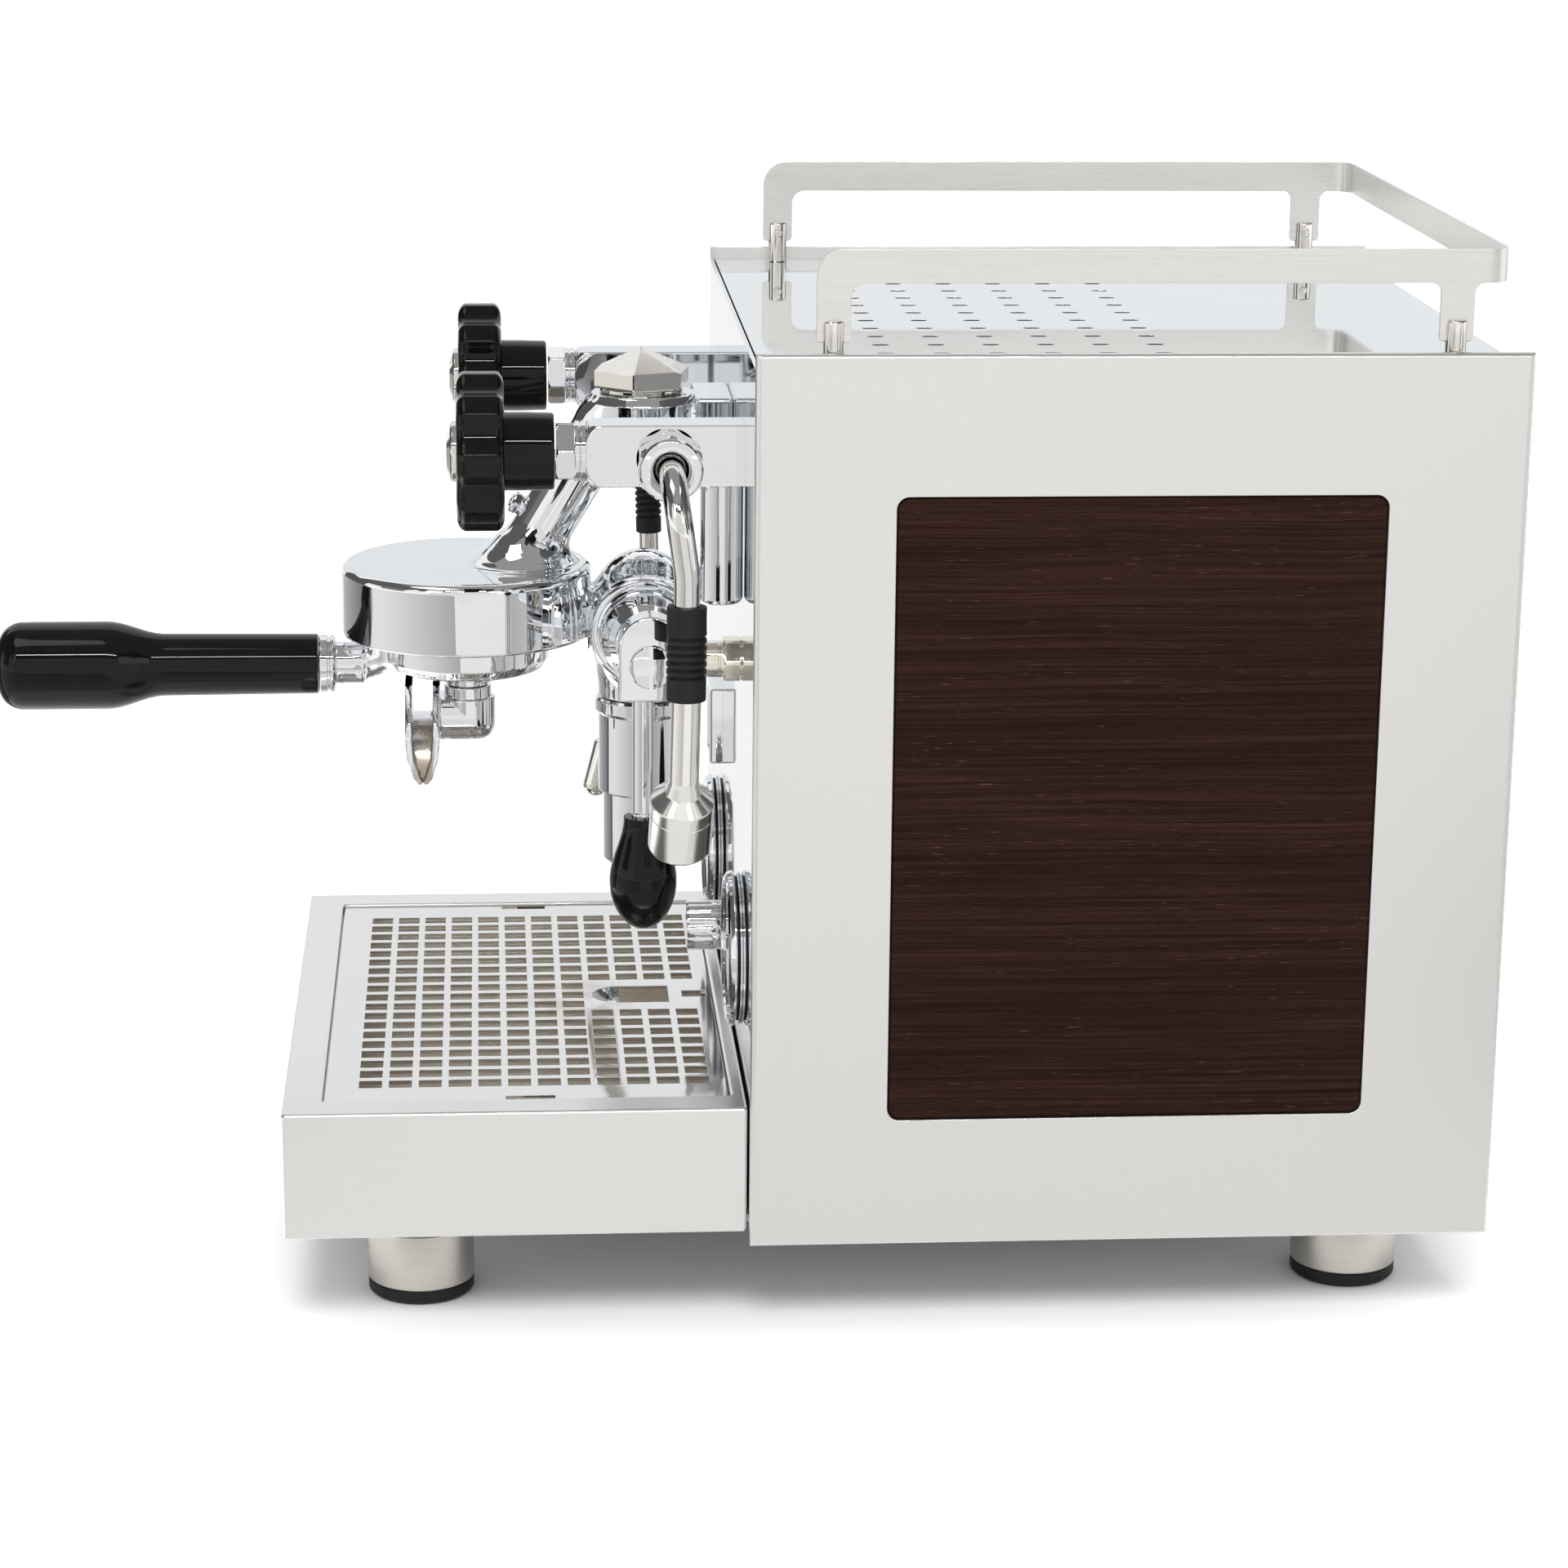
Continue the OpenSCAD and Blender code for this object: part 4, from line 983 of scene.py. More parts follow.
# ---------------- cup tray ----------------
slots = []
for i in range(6):
    for j in range(12):
        cx, cy = (j - 5.5) * 19.63, 46 + 20 * i
        a = np.linspace(0, pi, 9)
        L = [(cx + 1.6 * math.cos(u), cy + 4.3 + 1.6 * math.sin(u)) for u in a] + [(cx - 1.6 * math.cos(u), cy + 1.3 - 1.6 * math.sin(u)) for u in a]
        slots.append(np.array(L))
L = rrect_loop(0, (2 + 271.6) / 2, HW - 3.4, (271.6 - 2) / 2, 0.8, 3)
add("cup_tray_sheet", plate(L, slots, TRAY - 1.5, TRAY, 0.3, 2, 0.1), M_TRAY, "cup_warmer", ["cup_tray"])

# ---------------- drip tray ----------------
def rl(cx, cy, hx, hy, z, r, seg=4):
    L = rrect_loop(cx, cy, hx, hy, max(r, 0.02), seg)
    return np.column_stack([L, np.full(len(L), z)])


oy, ohy = (-170 - 0.6) / 2, (170 - 0.6) / 2
py, phy = (-155.7 - 6) / 2, (155.7 - 6) / 2
loops = [rl(0, oy, 140.5 - 1.5, ohy - 1.5, 39.6, 0.4), rl(0, oy, 140.5 - 0.3, ohy - 0.3, 39.6, 1.3), rl(0, oy, 140.5, ohy, 39.9, 1.4)]
for k in range(8):
    a = (pi / 2) * k / 7
    e = 1.3 * (1 - math.cos(a))
    loops.append(rl(0, oy, 140.5 - e, ohy - e, 87.5 - 1.3 * (1 - math.sin(a)), 1.4))
# opening: rounded lip into the recess
for k in range(7):
    a = (pi / 2) * k / 6
    e = 1.2 * (1 - math.sin(a))
    loops.append(rl(0, py, 125.5 + e, phy + e, 87.5 - 1.2 * (1 - math.cos(a)), 1.6 + e))
loops += [rl(0, py, 125.5, phy, 85.6, 1.6), rl(0, py, 126.6, phy + 1.1, 85.6, 2.0), rl(0, oy, 139, ohy - 1.5, 85.9, 0.4)]
add("tray_box_shell", fix_normals(loft(loops, closed=True)), M_BOX, "drip_tray", ["drip_box"])

holes = []
for i in range(12):
    for j in range(19):
        if i > 7 and 7 < j < 11:
            continue
        x0, y0 = (j - 9) * 11.6 - 4.1, -142.8 + i * 11.05
        holes.append(np.array([(x0, y0), (x0 + 8.2, y0), (x0 + 8.2, y0 + 8.4), (x0, y0 + 8.4)]))
a = np.linspace(pi, 2 * pi, 21)
scoop = [(10.5 * math.cos(u), -43 + 10.5 * math.sin(u)) for u in a] + [(10.5, -23.4), (-10.5, -23.4)]
holes.append(np.array(scoop))
holes.append(np.array([(-4, -18), (4, -18), (4, -8.6), (-4, -8.6)]))
outer = [(-124.8, -155), (124.8, -155), (124.8, -88.5), (119.4, -88.5), (119.4, -70.5), (124.8, -70.5), (124.8, -6.6),
         (-124.8, -6.6), (-124.8, -70.5), (-119.4, -70.5), (-119.4, -88.5), (-124.8, -88.5)]
grate = plate(np.array(outer, float), holes, 84.6, 86.4, 0.22, 2, 0.2)
# pressed finger dish at the front of the middle opening
rows = []
for u in np.linspace(pi - 0.02, 2 * pi + 0.02, 41):
    q = np.linspace(0, 1, 9)
    r, z = 10.42 - 7.2 * q, 86.1 - 4.4 * np.sin(q * pi / 2)
    r = np.concatenate([r, r[::-1] + 0.15])
    z = np.concatenate([z, z[::-1] - 0.9])
    rows.append(np.column_stack([r * math.cos(u), -43 + r * math.sin(u), z]))
dish = fix_normals(loft(rows, closed=False, cap0=True, cap1=True))
add("grate_plate", grate, M_GRATE, "grate", ["drip_grate"])
add("grate_finger_dish", dish, M_CHROME2, "grate")

# ---------------- brew group ----------------
ARC = lambda r, c0, c1, a0, a1, k: [(c0 + r * math.cos(math.radians(a0 + (a1 - a0) * i / k)), c1 + r * math.sin(math.radians(a0 + (a1 - a0) * i / k))) for i in range(k + 1)]


def group_f(P):
    collar = sd_rev(P, (0, GY, 0), [(0, 297), (16, 297), (20.1, 310.4), (20.1, 324.9), (18.7, 327.2), (0, 327.2)], r=1.2)
    arm = sd_cap(P, (0, GY + 4, 310), (0, -1.2, 310), 14.5, 0.8)
    flange = sd_box(P, (-19.5, -14.3, 294), (19.5, 0, 328.6), 1.6)
    neck = sd_cap(P, (0, -38.4, 331.6), (0, -84.4, 255.3), 11.4, 0.5)
    neck = smax(neck, P[:, 2] - 322.2, 2.5)
    d = smin(collar, neck, 7.0)
    d = smin(d, arm, 4.0)
    d = smin(d, flange, 1.2)
    # bell: flat top, small edge radius, crisp lower lip
    bell = sd_rev(P, (0, BY, 0), [(0, 228), (44.6, 228), (44.6, 259.1), (0, 259.1)], r=3.4)
    foot = sd_rev(P, (0, -79.6, 0), [(0, 256), (17.6, 256), (17.6, 262.8), (13.5, 266.2), (8, 270), (0, 270)], r=2.0)
    foot = np.maximum(foot, -(48 - np.hypot(P[:, 0], P[:, 1] - BY)))
    low = sd_rev(P, (0, GY, 0), [(0, 210.2), (16.5, 210.2), (16.6, 214), (18.2, 226), (18.4, 244), (18.4, 247.5)]
                 + ARC(18.4, 0, 247.5, 8, 88, 12) + [(0, 265.9)], r=0.9)
    low = low
    boss = sd_cap(P, (-1, GY, CZ), (20, GY, CZ), 20.8, 1.6)
    web = sd_box(P, (-11, -66, 238.6), (11, -42, 249.4), 3.0)
    body = smin(low, boss, 4.5)
    d2 = smin(smin(bell, foot, 4.0), neck, 7.5)
    lowarm = sd_cap(P, (0, GY, 223), (0, -0.2, 223), 7.2, 0.5)
    body = smin(body, lowarm, 2.0)
    d2 = smin(d2, smin(web, body, 9.0), 0.01)
    d2 = smin(d2, smin(web, bell, 7.0), 0.01)
    d = np.minimum(d, d2)
    d = smax(d, 235.0 - P[:, 2] - 1000.0 * (P[:, 1] > -56), 1.2)
    # cavity and bayonet groove
    cav = sd_rev(P, (0, BY, 0), [(0, 220), (36.9, 220), (36.9, 252.2), (0, 252.2)])
    groove = sd_rev(P, (0, BY, 0), [(30, 240.3), (42.4, 240.3), (42.4, 246.8), (30, 246.8)])
    return smax(d, -np.minimum(cav, groove), 0.5)


H_GROUP = 0.75
V, Q, NRM = sdf_mesh(group_f, (-50, -152, 206), (50, 3, 331), H_GROUP)
add("group_casting", (V, Q), M_CHROME, "machine", ["group_body"], normals=NRM)

# cap nut: hexagon with a pyramid top, small chamfers
R6 = 19.4 * math.cos(pi / 6)


def cap_r(th, z):
    if z <= 337.0:
        a = R6 if z > 331.5 else R6 - (331.5 - z) * 0.8
    else:
        a = R6 * max(0.02, 1 - (z - 337.0) / 8.5)
    return ngon_r(th, 6, a, math.radians(-11), 0.3)


hs = [330.5, 330.7, 331.2, 331.5, 332, 334, 336.75, 336.95, 337.2, 337.5, 339, 341, 343, 344.3, 345.0, 345.35, 345.5]
capnut = at(polar(cap_r, hs, 240), (0, GY - 0.6, 0))
wash = at(lathe(prof((0, 328.42), (15.4, 328.42, 0.3), (16, 328.8, 0.3), (16, 330.2, 0.4), (15, 330.6), (0, 330.6)), 96), (0, GY - 0.6, 0))
add("group_crown_nut", join(capnut, wash), M_NICKEL, "machine", ["group_cap_nut"], angle=14)

pl_dir = np.array([0, -math.sin(math.radians(58.9)), math.cos(math.radians(58.9))])
pb = basis(pl_dir, (1, 0, 0))
pz = lambda z: np.array([0, -70.6, 278.2]) + pl_dir * z
plug = [at(lathe(prof((0, 8.6), (3.9, 8.6, 0.3), (3.9, 12.2, 0.3), (0, 12.4)), 48), (0, -70.6, 278.2), pb)]
hexr = lambda th, h: smin(ngon_r(th, 6, 4.0, 0.0, 0.25), np.full_like(th, 4.55 - max(0, abs(h - 13.7) - 0.95) * 1.4), 0.1)
plug.append(at(polar(hexr, [12.2, 12.6, 13, 14.4, 14.8, 15.2], 120), (0, -70.6, 278.2), pb))
plug.append(at(lathe(prof((0, 15.1), (2.6, 15.1), (2.6, 15.9, 0.6), (0, 16.6)), 40), (0, -70.6, 278.2), pb))
add("group_plug_hex", join(*plug), M_CHROME2, "machine", ["group_plug"], angle=25)

# exhaust tube: collar, two straight steps, drip edge
P = prof((15, 209.2), (15, 206), (11, 205), (11, 141.3, 0.3), (12.4, 141, 0.5), (15.5, 144.0, 0.6), (15.6, 171.2, 0.4), (17.2, 171.5, 0.3), (17.4, 172.0, 0.3),
         (17.4, 202.6, 0.5), (18.0, 203.1, 0.4), (18.6, 204.0, 0.4), (18.6, 208.2, 0.6), (17.9, 209.2, 0.2))
collar_f = polar(lambda th, h: smin(ngon_r(th, 12, 18.35, 0.13, 0.5), np.full_like(th, 18.7 - max(0, abs(h - 206) - 2.2) * 1.2), 0.2), [203.0, 203.4, 203.8, 206, 208.2, 208.7, 209.15], 240)
add("exhaust_pipe", join(at(fix_normals(lathe(P, 120, closed=True)), (0, GY, 0)), at(collar_f, (0, GY, 0))), M_CHROME, "machine", ["exhaust_tube"], angle=28)

# cam nut: stepped dome
P = prof((5.1, 20.02), (18.0, 20.02, 0.5), (18.6, 20.6, 0.4), (18.6, 22.0, 0.5), (17.5, 22.6, 0.2), (17.2, 23.2, 0.3), (17.2, 29.5, 3.5), (14.4, 35.2, 3.0), (12.0, 38.2, 0.6), (11.9, 40.2, 0.3),
         (11.0, 40.6, 0.3), (11.0, 47.4, 0.6), (10.2, 48), (5.1, 48))
add("cam_bonnet", at(fix_normals(lathe(P, 128, closed=True)), (0, GY, CZ), "x"), M_CHROME, "machine", ["cam_nut"])

# gasket
P = prof((29.0, 247.25, 0.4), (36.6, 247.25, 0.4), (36.6, 252.1, 0.3), (29.0, 252.1, 0.3))
add("gasket_ring", at(fix_normals(lathe(P, 96, closed=True)), (0, BY, 0)), M_RUBBER, "machine", ["group_gasket"])

# ---------------- valves ----------------
def bar_r(th, h):
    # square bar 18 x 22.8 cut by a round of 14.3, nose taper
    hx, hz = 9.0, 11.4
    c, s = np.abs(np.cos(th)), np.abs(np.sin(th))
    r = smin(hx / np.maximum(c, 1e-6), hz / np.maximum(s, 1e-6), 0.25)
    R = 14.3
    if h > 50.4:
        t = (h - 50.4) / 7.2
        R = 14.3 - 5.0 * (1 - math.sqrt(max(0.0, 1 - t * t * 0.98)))
    return smin(r, np.full_like(r, R), 0.6)


hs = [0.02, 0.4] + list(np.linspace(1, 50.4, 10)) + list(50.4 + 7.2 * np.sin(np.linspace(0, pi / 2, 15))[1:])
for s, nm in ((1, "water"), (-1, "steam")):
    parts = [at(polar(bar_r, hs, 240), (s * VX, 0, 320.0), "-y")]
    # stem behind the panel
    parts.append(at(lathe(prof((0, 0), (7.5, 0), (7.5, 12.6, 0.4), (0, 13)), 48), (s * VX, 0, VZ), "y"))
    add(f"{nm}_valve_bar", join(*parts), M_CHROME, "machine", ["valve_bodies"], angle=24)
    # packing nut: ring, groove, hexagon with chamfered corners
    hexr = lambda th, h: smin(ngon_r(th, 6, 11.6 * math.cos(pi / 6), math.radians(8 if s > 0 else -14), 0.3), np.full_like(th, 11.75 - max(0, abs(h - 64.9) - 2.6) * 1.3), 0.15)
    ring = prof((0, 57.62), (11.0, 57.62, 0.3), (11.0, 59.4, 0.3), (10.6, 59.6), (10.6, 59.9), (11.0, 60.1, 0.3), (11.0, 61.5, 0.3), (10.2, 61.8), (0, 61.8))
    nut = [at(lathe(ring, 96), (s * VX, 0, VZ), "-y"), at(polar(hexr, [61.4, 61.7, 62.1, 62.5, 64.9, 67.3, 67.7, 68.1, 68.4], 240), (s * VX, 0, VZ), "-y")]
    add(f"{nm}_packing_nut", join(*nut), M_CHROME, "machine", ["valve_bonnets"], angle=22)
    # wand nut: hexagon, round nose with the ball's seat
    hexr = lambda th, h: smin(ngon_r(th, 6, 12.8 * math.cos(pi / 6), math.radians(-2.5 if s > 0 else 30), 0.35), np.full_like(th, 12.95 - max(0, (h - 3.0)) * 1.35 - max(0, (-5.6 - h)) * 1.3), 0.2)
    hexm = polar(hexr, [-7, -6.5, -6.0, -5.5, -2, 1, 3.0, 3.5, 4.0, 4.5, 4.8], 240, cap1=False)
    nose = lathe(prof((11.6, 3.9), (11.6, 5.4, 0.6), (10.9, 6.9, 0.6), (8.9, 7.05, 0.5), (7.25, 6.8, 0.3), (6.5, 5.2), (6.9, 3.0), (7.0, 0.0)), 120)
    M = join(hexm, nose)
    add(f"{nm}_wand_nut", at(M, (s * BJ[0], BJ[1], BJ[2]), "x" if s > 0 else "-x"), M_CHROME, "machine", ["wand_nuts"], angle=24)

P = prof((0, 264.4), (6.4, 264.4, 0.3), (7.2, 264.9, 0.4), (7.9, 266.2, 0.5), (7.9, 308.55), (0, 308.55))
add("water_sleeve", at(lathe(P, 96), (VX, -8.1, 0)), M_CHROME, "machine", ["hot_water_sleeve"])

hexr = lambda th, h: smin(ngon_r(th, 6, 8.8 * math.cos(pi / 6), 0.0, 0.3), np.full_like(th, 8.95 - max(0, abs(h - 3.3) - 2.5) * 1.3), 0.15)
fit = [at(polar(hexr, [0.02, 0.4, 0.8, 3.3, 5.8, 6.2, 6.7], 180), (72, 0, 240), "-y"),
       at(lathe(prof((0, 6.5), (6.2, 6.5), (6.2, 7.6, 0.2), (5.6, 7.8), (5.6, 8.4), (6.2, 8.6, 0.2), (6.2, 13.2, 0.5), (5.4, 13.9, 0.3), (3.2, 13.9), (3.0, 12.5), (0, 12.5)), 64), (72, 0, 240), "-y")]
add("service_union", join(*fit), M_BRASS, "machine", ["service_fitting"], angle=24)

# ---------------- brew lever ----------------
sh = [at(lathe(prof((0, -8.5), (4.6, -8.5), (5.0, -8.1), (5.0, 64.5)), 48), (0, GY, CZ), "x")]
hub = fillet([((-11.8, -13.4), 1.6), ((11.8, -13.4), 1.6), ((11.8, 7), 0), ((11.8, 7.01), 0)], closed=False, seg=5)
oc = [tuple(p) for p in hub[:-1]] + [(11.8 * math.cos(a), 7 + 11.8 * math.sin(a)) for a in np.linspace(0, pi, 33)]
hubm = plate(np.array(oc), [], 0, 13, 1.0, 4)
V, F = hubm
hubm = (np.column_stack([64 + V[:, 2], GY + V[:, 0], CZ + V[:, 1]]), F)
rod = at(lathe(prof((0, 170.5), (4.0, 170.5), (4.0, 229), (0, 229)), 56), (LX, GY - 2.6, 0))
cup = at(lathe(prof((0, 176.6), (4.6, 176.6, 0.3), (4.6, 180.6, 0.4), (4.05, 180.9), (0, 180.9)), 56), (LX, GY - 2.6, 0))
add("lever_arm", join(*sh, hubm, rod, cup), M_CHROME, "lever", ["brew_lever"])

tt = np.linspace(0, 1, 49)
zz = 43.7 * (1 - np.cos(pi * tt)) / 2
rr = np.where(zz < 19, 12.7 * np.sqrt(np.maximum(0, 1 - ((19 - zz) / 19) ** 2)), 7.3 + 5.4 * (1 + np.cos(pi * (zz - 19) / 24.7)) / 2)
P = np.column_stack([rr, zz])
P = np.vstack([P[:-1], prof((7.35, 43.3), (7.2, 43.75, 0.35), (4.1, 43.8))])
add("lever_grip", at(lathe(P, 128), (LX, GY - 2.6, 135.3)), M_BAKE, "lever", ["lever_knob"], angle=50)

# screw: slotted head, low dome
def screw_head(R, h, slot_w, slot_d, n=96):
    """Domed head with a true slot along local x, top at height h."""
    xs = []
    g = np.linspace(-R, R, 61)
    bm = bmesh.new()
    bmesh.ops.create_cone(bm, cap_ends=True, segments=n, radius1=R, radius2=R, depth=0.01)
    bm.free()
    V, F = [], []
    # two halves split by the slot
    for q in (-1, 1):
        a0 = math.asin(slot_w / R)
        arc = np.linspace(a0, pi - a0, 49)
        loops = []
        for rr_, z in ((R, 0.0), (R, h * 0.45), (R * 0.985, h * 0.62), (R * 0.95, h * 0.74)):
            a1 = math.asin(slot_w / rr_)
            t_ = np.linspace(a1, pi - a1, 49)
            loops.append(np.column_stack([rr_ * np.cos(t_), q * rr_ * np.sin(t_), np.full(49, z)]))
        for f in (0.85, 0.65, 0.4, 0.2):
            rr_ = R * f
            a1 = math.asin(min(1, slot_w / rr_)) if slot_w < rr_ else pi / 2
            t_ = np.linspace(a1, pi - a1, 49)
            y = np.maximum(rr_ * np.sin(t_), slot_w)
            loops.append(np.column_stack([rr_ * np.cos(t_), q * y, np.full(49, h * (0.74 + 0.26 * (1 - f * f) / (1 - 0.0)))]))
        m = fix_normals(loft(loops, closed=False, cap0=True, cap1=True))
        V.append(m)
    base = lathe(prof((0, 0), (R * 0.99, 0), (R * 0.99, h - slot_d), (0, h - slot_d)), n)
    return join(base, *V)


sc = screw_head(8.1, 2.4, 0.75, 1.5)
V, F = sc
# slot runs along y
sc = (np.column_stack([V[:, 1], V[:, 0], V[:, 2]]), [tuple(reversed(f)) for f in F])
shaft = lathe(prof((0, -12), (3.0, -12), (3.0, 0.2), (0, 0.2)), 40)
sc = at(join(sc, shaft), (77.05, GY, CZ), np.array([[0, 0, 1], [1, 0, 0], [0, 1, 0]], float))
add("lever_slotted_screw", sc, M_CHROME, "lever", ["lever_screw"], angle=25)

# ---------------- portafilter ----------------
def pf_f(P):
    basin = sd_rev(P, (0, BY, 0), [(0, 221.5), (24.6, 221.5), (28.4, 222.9), (30.1, 225.6), (30.1, 236.4), (0, 236.4)], r=1.4)
    rim = sd_rev(P, (0, BY, 0), [(0, 239.4), (35.4, 239.4), (35.4, 245.2), (0, 245.2)], r=0.8)
    d = smin(basin, rim, 3.0)
    neck = sd_cap(P, (0, BY - 50.9, 222.6), (0, BY - 40, 222.6), 8.2, 0.6)
    waist = sd_cap(P, (0, BY - 42, 222.6), (0, BY - 33.5, 224.8), 6.9, 2.0)
    knuckle = sd_box(P, (-8.5, BY - 36.5, 222.5), (8.5, BY - 26, 235.5), 3.0)
    arm = smin(smin(neck, waist, 3.0), knuckle, 5.0)
    d = smin(d, arm, 5.5)
    boss = sd_cap(P, (0, BY, 213.95), (0, BY, 224), 8.2, 0.5)
    d = smin(d, boss, 1.5)
    cav = sd_rev(P, (0, BY, 0), [(0, 223.2), (29.6, 223.2), (29.6, 260), (0, 260)])
    d = smax(d, -cav, 0.5)
    Q = P - np.array([0, BY, 0])
    ang = np.abs(np.degrees(np.arctan2(Q[:, 1], np.abs(Q[:, 0]))))
    rad = np.hypot(Q[:, 0], Q[:, 1])
    ear = np.maximum(np.maximum(rad - 41.8, 34 - rad), np.maximum(240.8 - P[:, 2], P[:, 2] - 245.9))
    ear = np.maximum(ear, (ang - 17) * 0.6)
    return np.minimum(d, ear)


H_PF = 0.65
V, Q, NRM = sdf_mesh(pf_f, (-44, -155, 211.5), (44, -57, 248.5), H_PF)
add("portafilter_casting", (V, Q), M_CHROME, "portafilter_assembly", ["portafilter"], normals=NRM)
fer = prof((0, 50.7), (10.2, 50.7, 0.5), (11.2, 51.5, 0.4), (11.2, 52.5, 0.2), (10.5, 52.9), (10.5, 53.5), (11.2, 53.9, 0.2), (11.2, 56.4, 0.4), (10.7, 57.1), (0, 57.1))
add("handle_ferrule", at(lathe(fer, 96), (0, BY, 222.3), "-y"), M_CHROME2, "portafilter_assembly")
P = [(4, 57.3), (11.0, 57.3), (11.5, 57.8)] + [(11.55 + 0.45 * i / 12, 58.4 + 57 * i / 12) for i in range(13)]
P += [(12.0 + 4.9 * (1 - math.cos(pi * t)) / 2, 115.6 + 23 * t) for t in np.linspace(0, 1, 19)[1:]]
P += [(16.9, z) for z in (142, 150, 158, 166)]
P += [(16.9 - 8.6 * (1 - math.cos(a)), 170 + 9.4 * math.sin(a)) for a in np.linspace(0, pi / 2, 15)[1:]]
P += [(8.3, 179.4), (8.0, 179.15), (7.6, 179.45), (4, 179.5), (0, 179.5)]
add("handle_grip", at(lathe(np.array(P), 144), (0, BY, 222.3), "-y"), M_BAKE, "portafilter_assembly", ["portafilter_handle"], angle=40)

# basket: pressed cup with rolled rim
P = prof((0, 223.8), (27.6, 223.8, 1.2), (29.0, 226, 1.0), (29.0, 245.9, 0.4), (34.3, 246.1, 0.3), (34.3, 246.75, 0.3), (28.9, 246.75, 0.4), (28.4, 246), (28.4, 226.4, 1.0), (27, 224.5, 0.8), (0, 224.5))
add("basket_cup", at(fix_normals(lathe(P, 96)), (0, BY, 0)), M_CHROME2, "portafilter_assembly", ["filter_basket"])


# spout: squared elbow and open double trough
def spout_f(P):
    q = P - np.array([0, BY, 202.4])
    x, y, z = q[:, 0], q[:, 1], q[:, 2]
    R = 10.7
    n = 3.4
    vert = np.maximum(np.hypot(x, y) - R, -z)
    horiz = np.maximum(np.hypot(x, z) - R, y)
    c = (np.maximum(y, 0) ** n + np.maximum(-z, 0) ** n) ** (1 / n)
    corner = np.where((y >= -0.5) & (z <= 0.5), np.hypot(c, x) - R, 1e3)
    elbow = np.minimum(np.minimum(vert, horiz), corner)
    elbow = smax(elbow, z - 7.0, 0.5)
    elbow = smax(elbow, -10.9 - y, 0.4)
    collar = sd_cap(P, (0, BY, 207), (0, BY, 213.85), 9.2, 0.3)
    body = np.minimum(elbow, collar)
    # trough
    u = BY - 17.4 - P[:, 1]
    zt = P[:, 2] - 180.0
    rad = np.hypot(P[:, 0], zt)
    w = np.interp(P[:, 2], [176, 180, 182.5, 190, 198, 222], [0.6, 1.7, 3.6, 5.9, 6.7, 6.7])
    out = np.maximum(rad - 37.0, 19.9 - rad)
    out = np.maximum(out, np.abs(u) - w)
    out = np.maximum(out, np.abs(P[:, 0]) - 26.5)
    out = np.maximum(out, 180.0 - P[:, 2])
    out = smax(out, np.hypot(P[:, 0], P[:, 2] - 190) - 28.6, 2.0)
    hollow = np.maximum(22.6 - rad, np.abs(u) - np.maximum(w - 2.8, 0.1))
    trough = smax(out, -hollow, 1.2)
    d = smin(body, trough, 0.8)
    bore = np.hypot(P[:, 0], zt - 22.4) - 5
    return smax(d, -np.maximum(bore, np.maximum(P[:, 1] - (BY - 9), -(P[:, 1] - (BY - 14)))), 0.3)


V, Q, NRM = sdf_mesh(spout_f, (-29, -128, 178), (29, -89, 215.5), 0.5)
add("spout_casting", (V, Q), M_SPOUT, "portafilter_assembly", ["double_spout"], normals=NRM)

# ---------------- star knobs ----------------
def star(th, lobes=8, R=28.9):
    a = (th - pi / lobes) % (2 * pi / lobes)
    a = np.minimum(a, 2 * pi / lobes - a)
    c, rs = R + 7.4, 10.6
    # distance along the ray to the scallop circle
    s = c * np.sin(a)
    inside = rs * rs - s * s
    hit = np.where(inside > 0, c * np.cos(a) - np.sqrt(np.maximum(inside, 0)), 1e3)
    return smin(np.full_like(th, R), hit, 1.6)


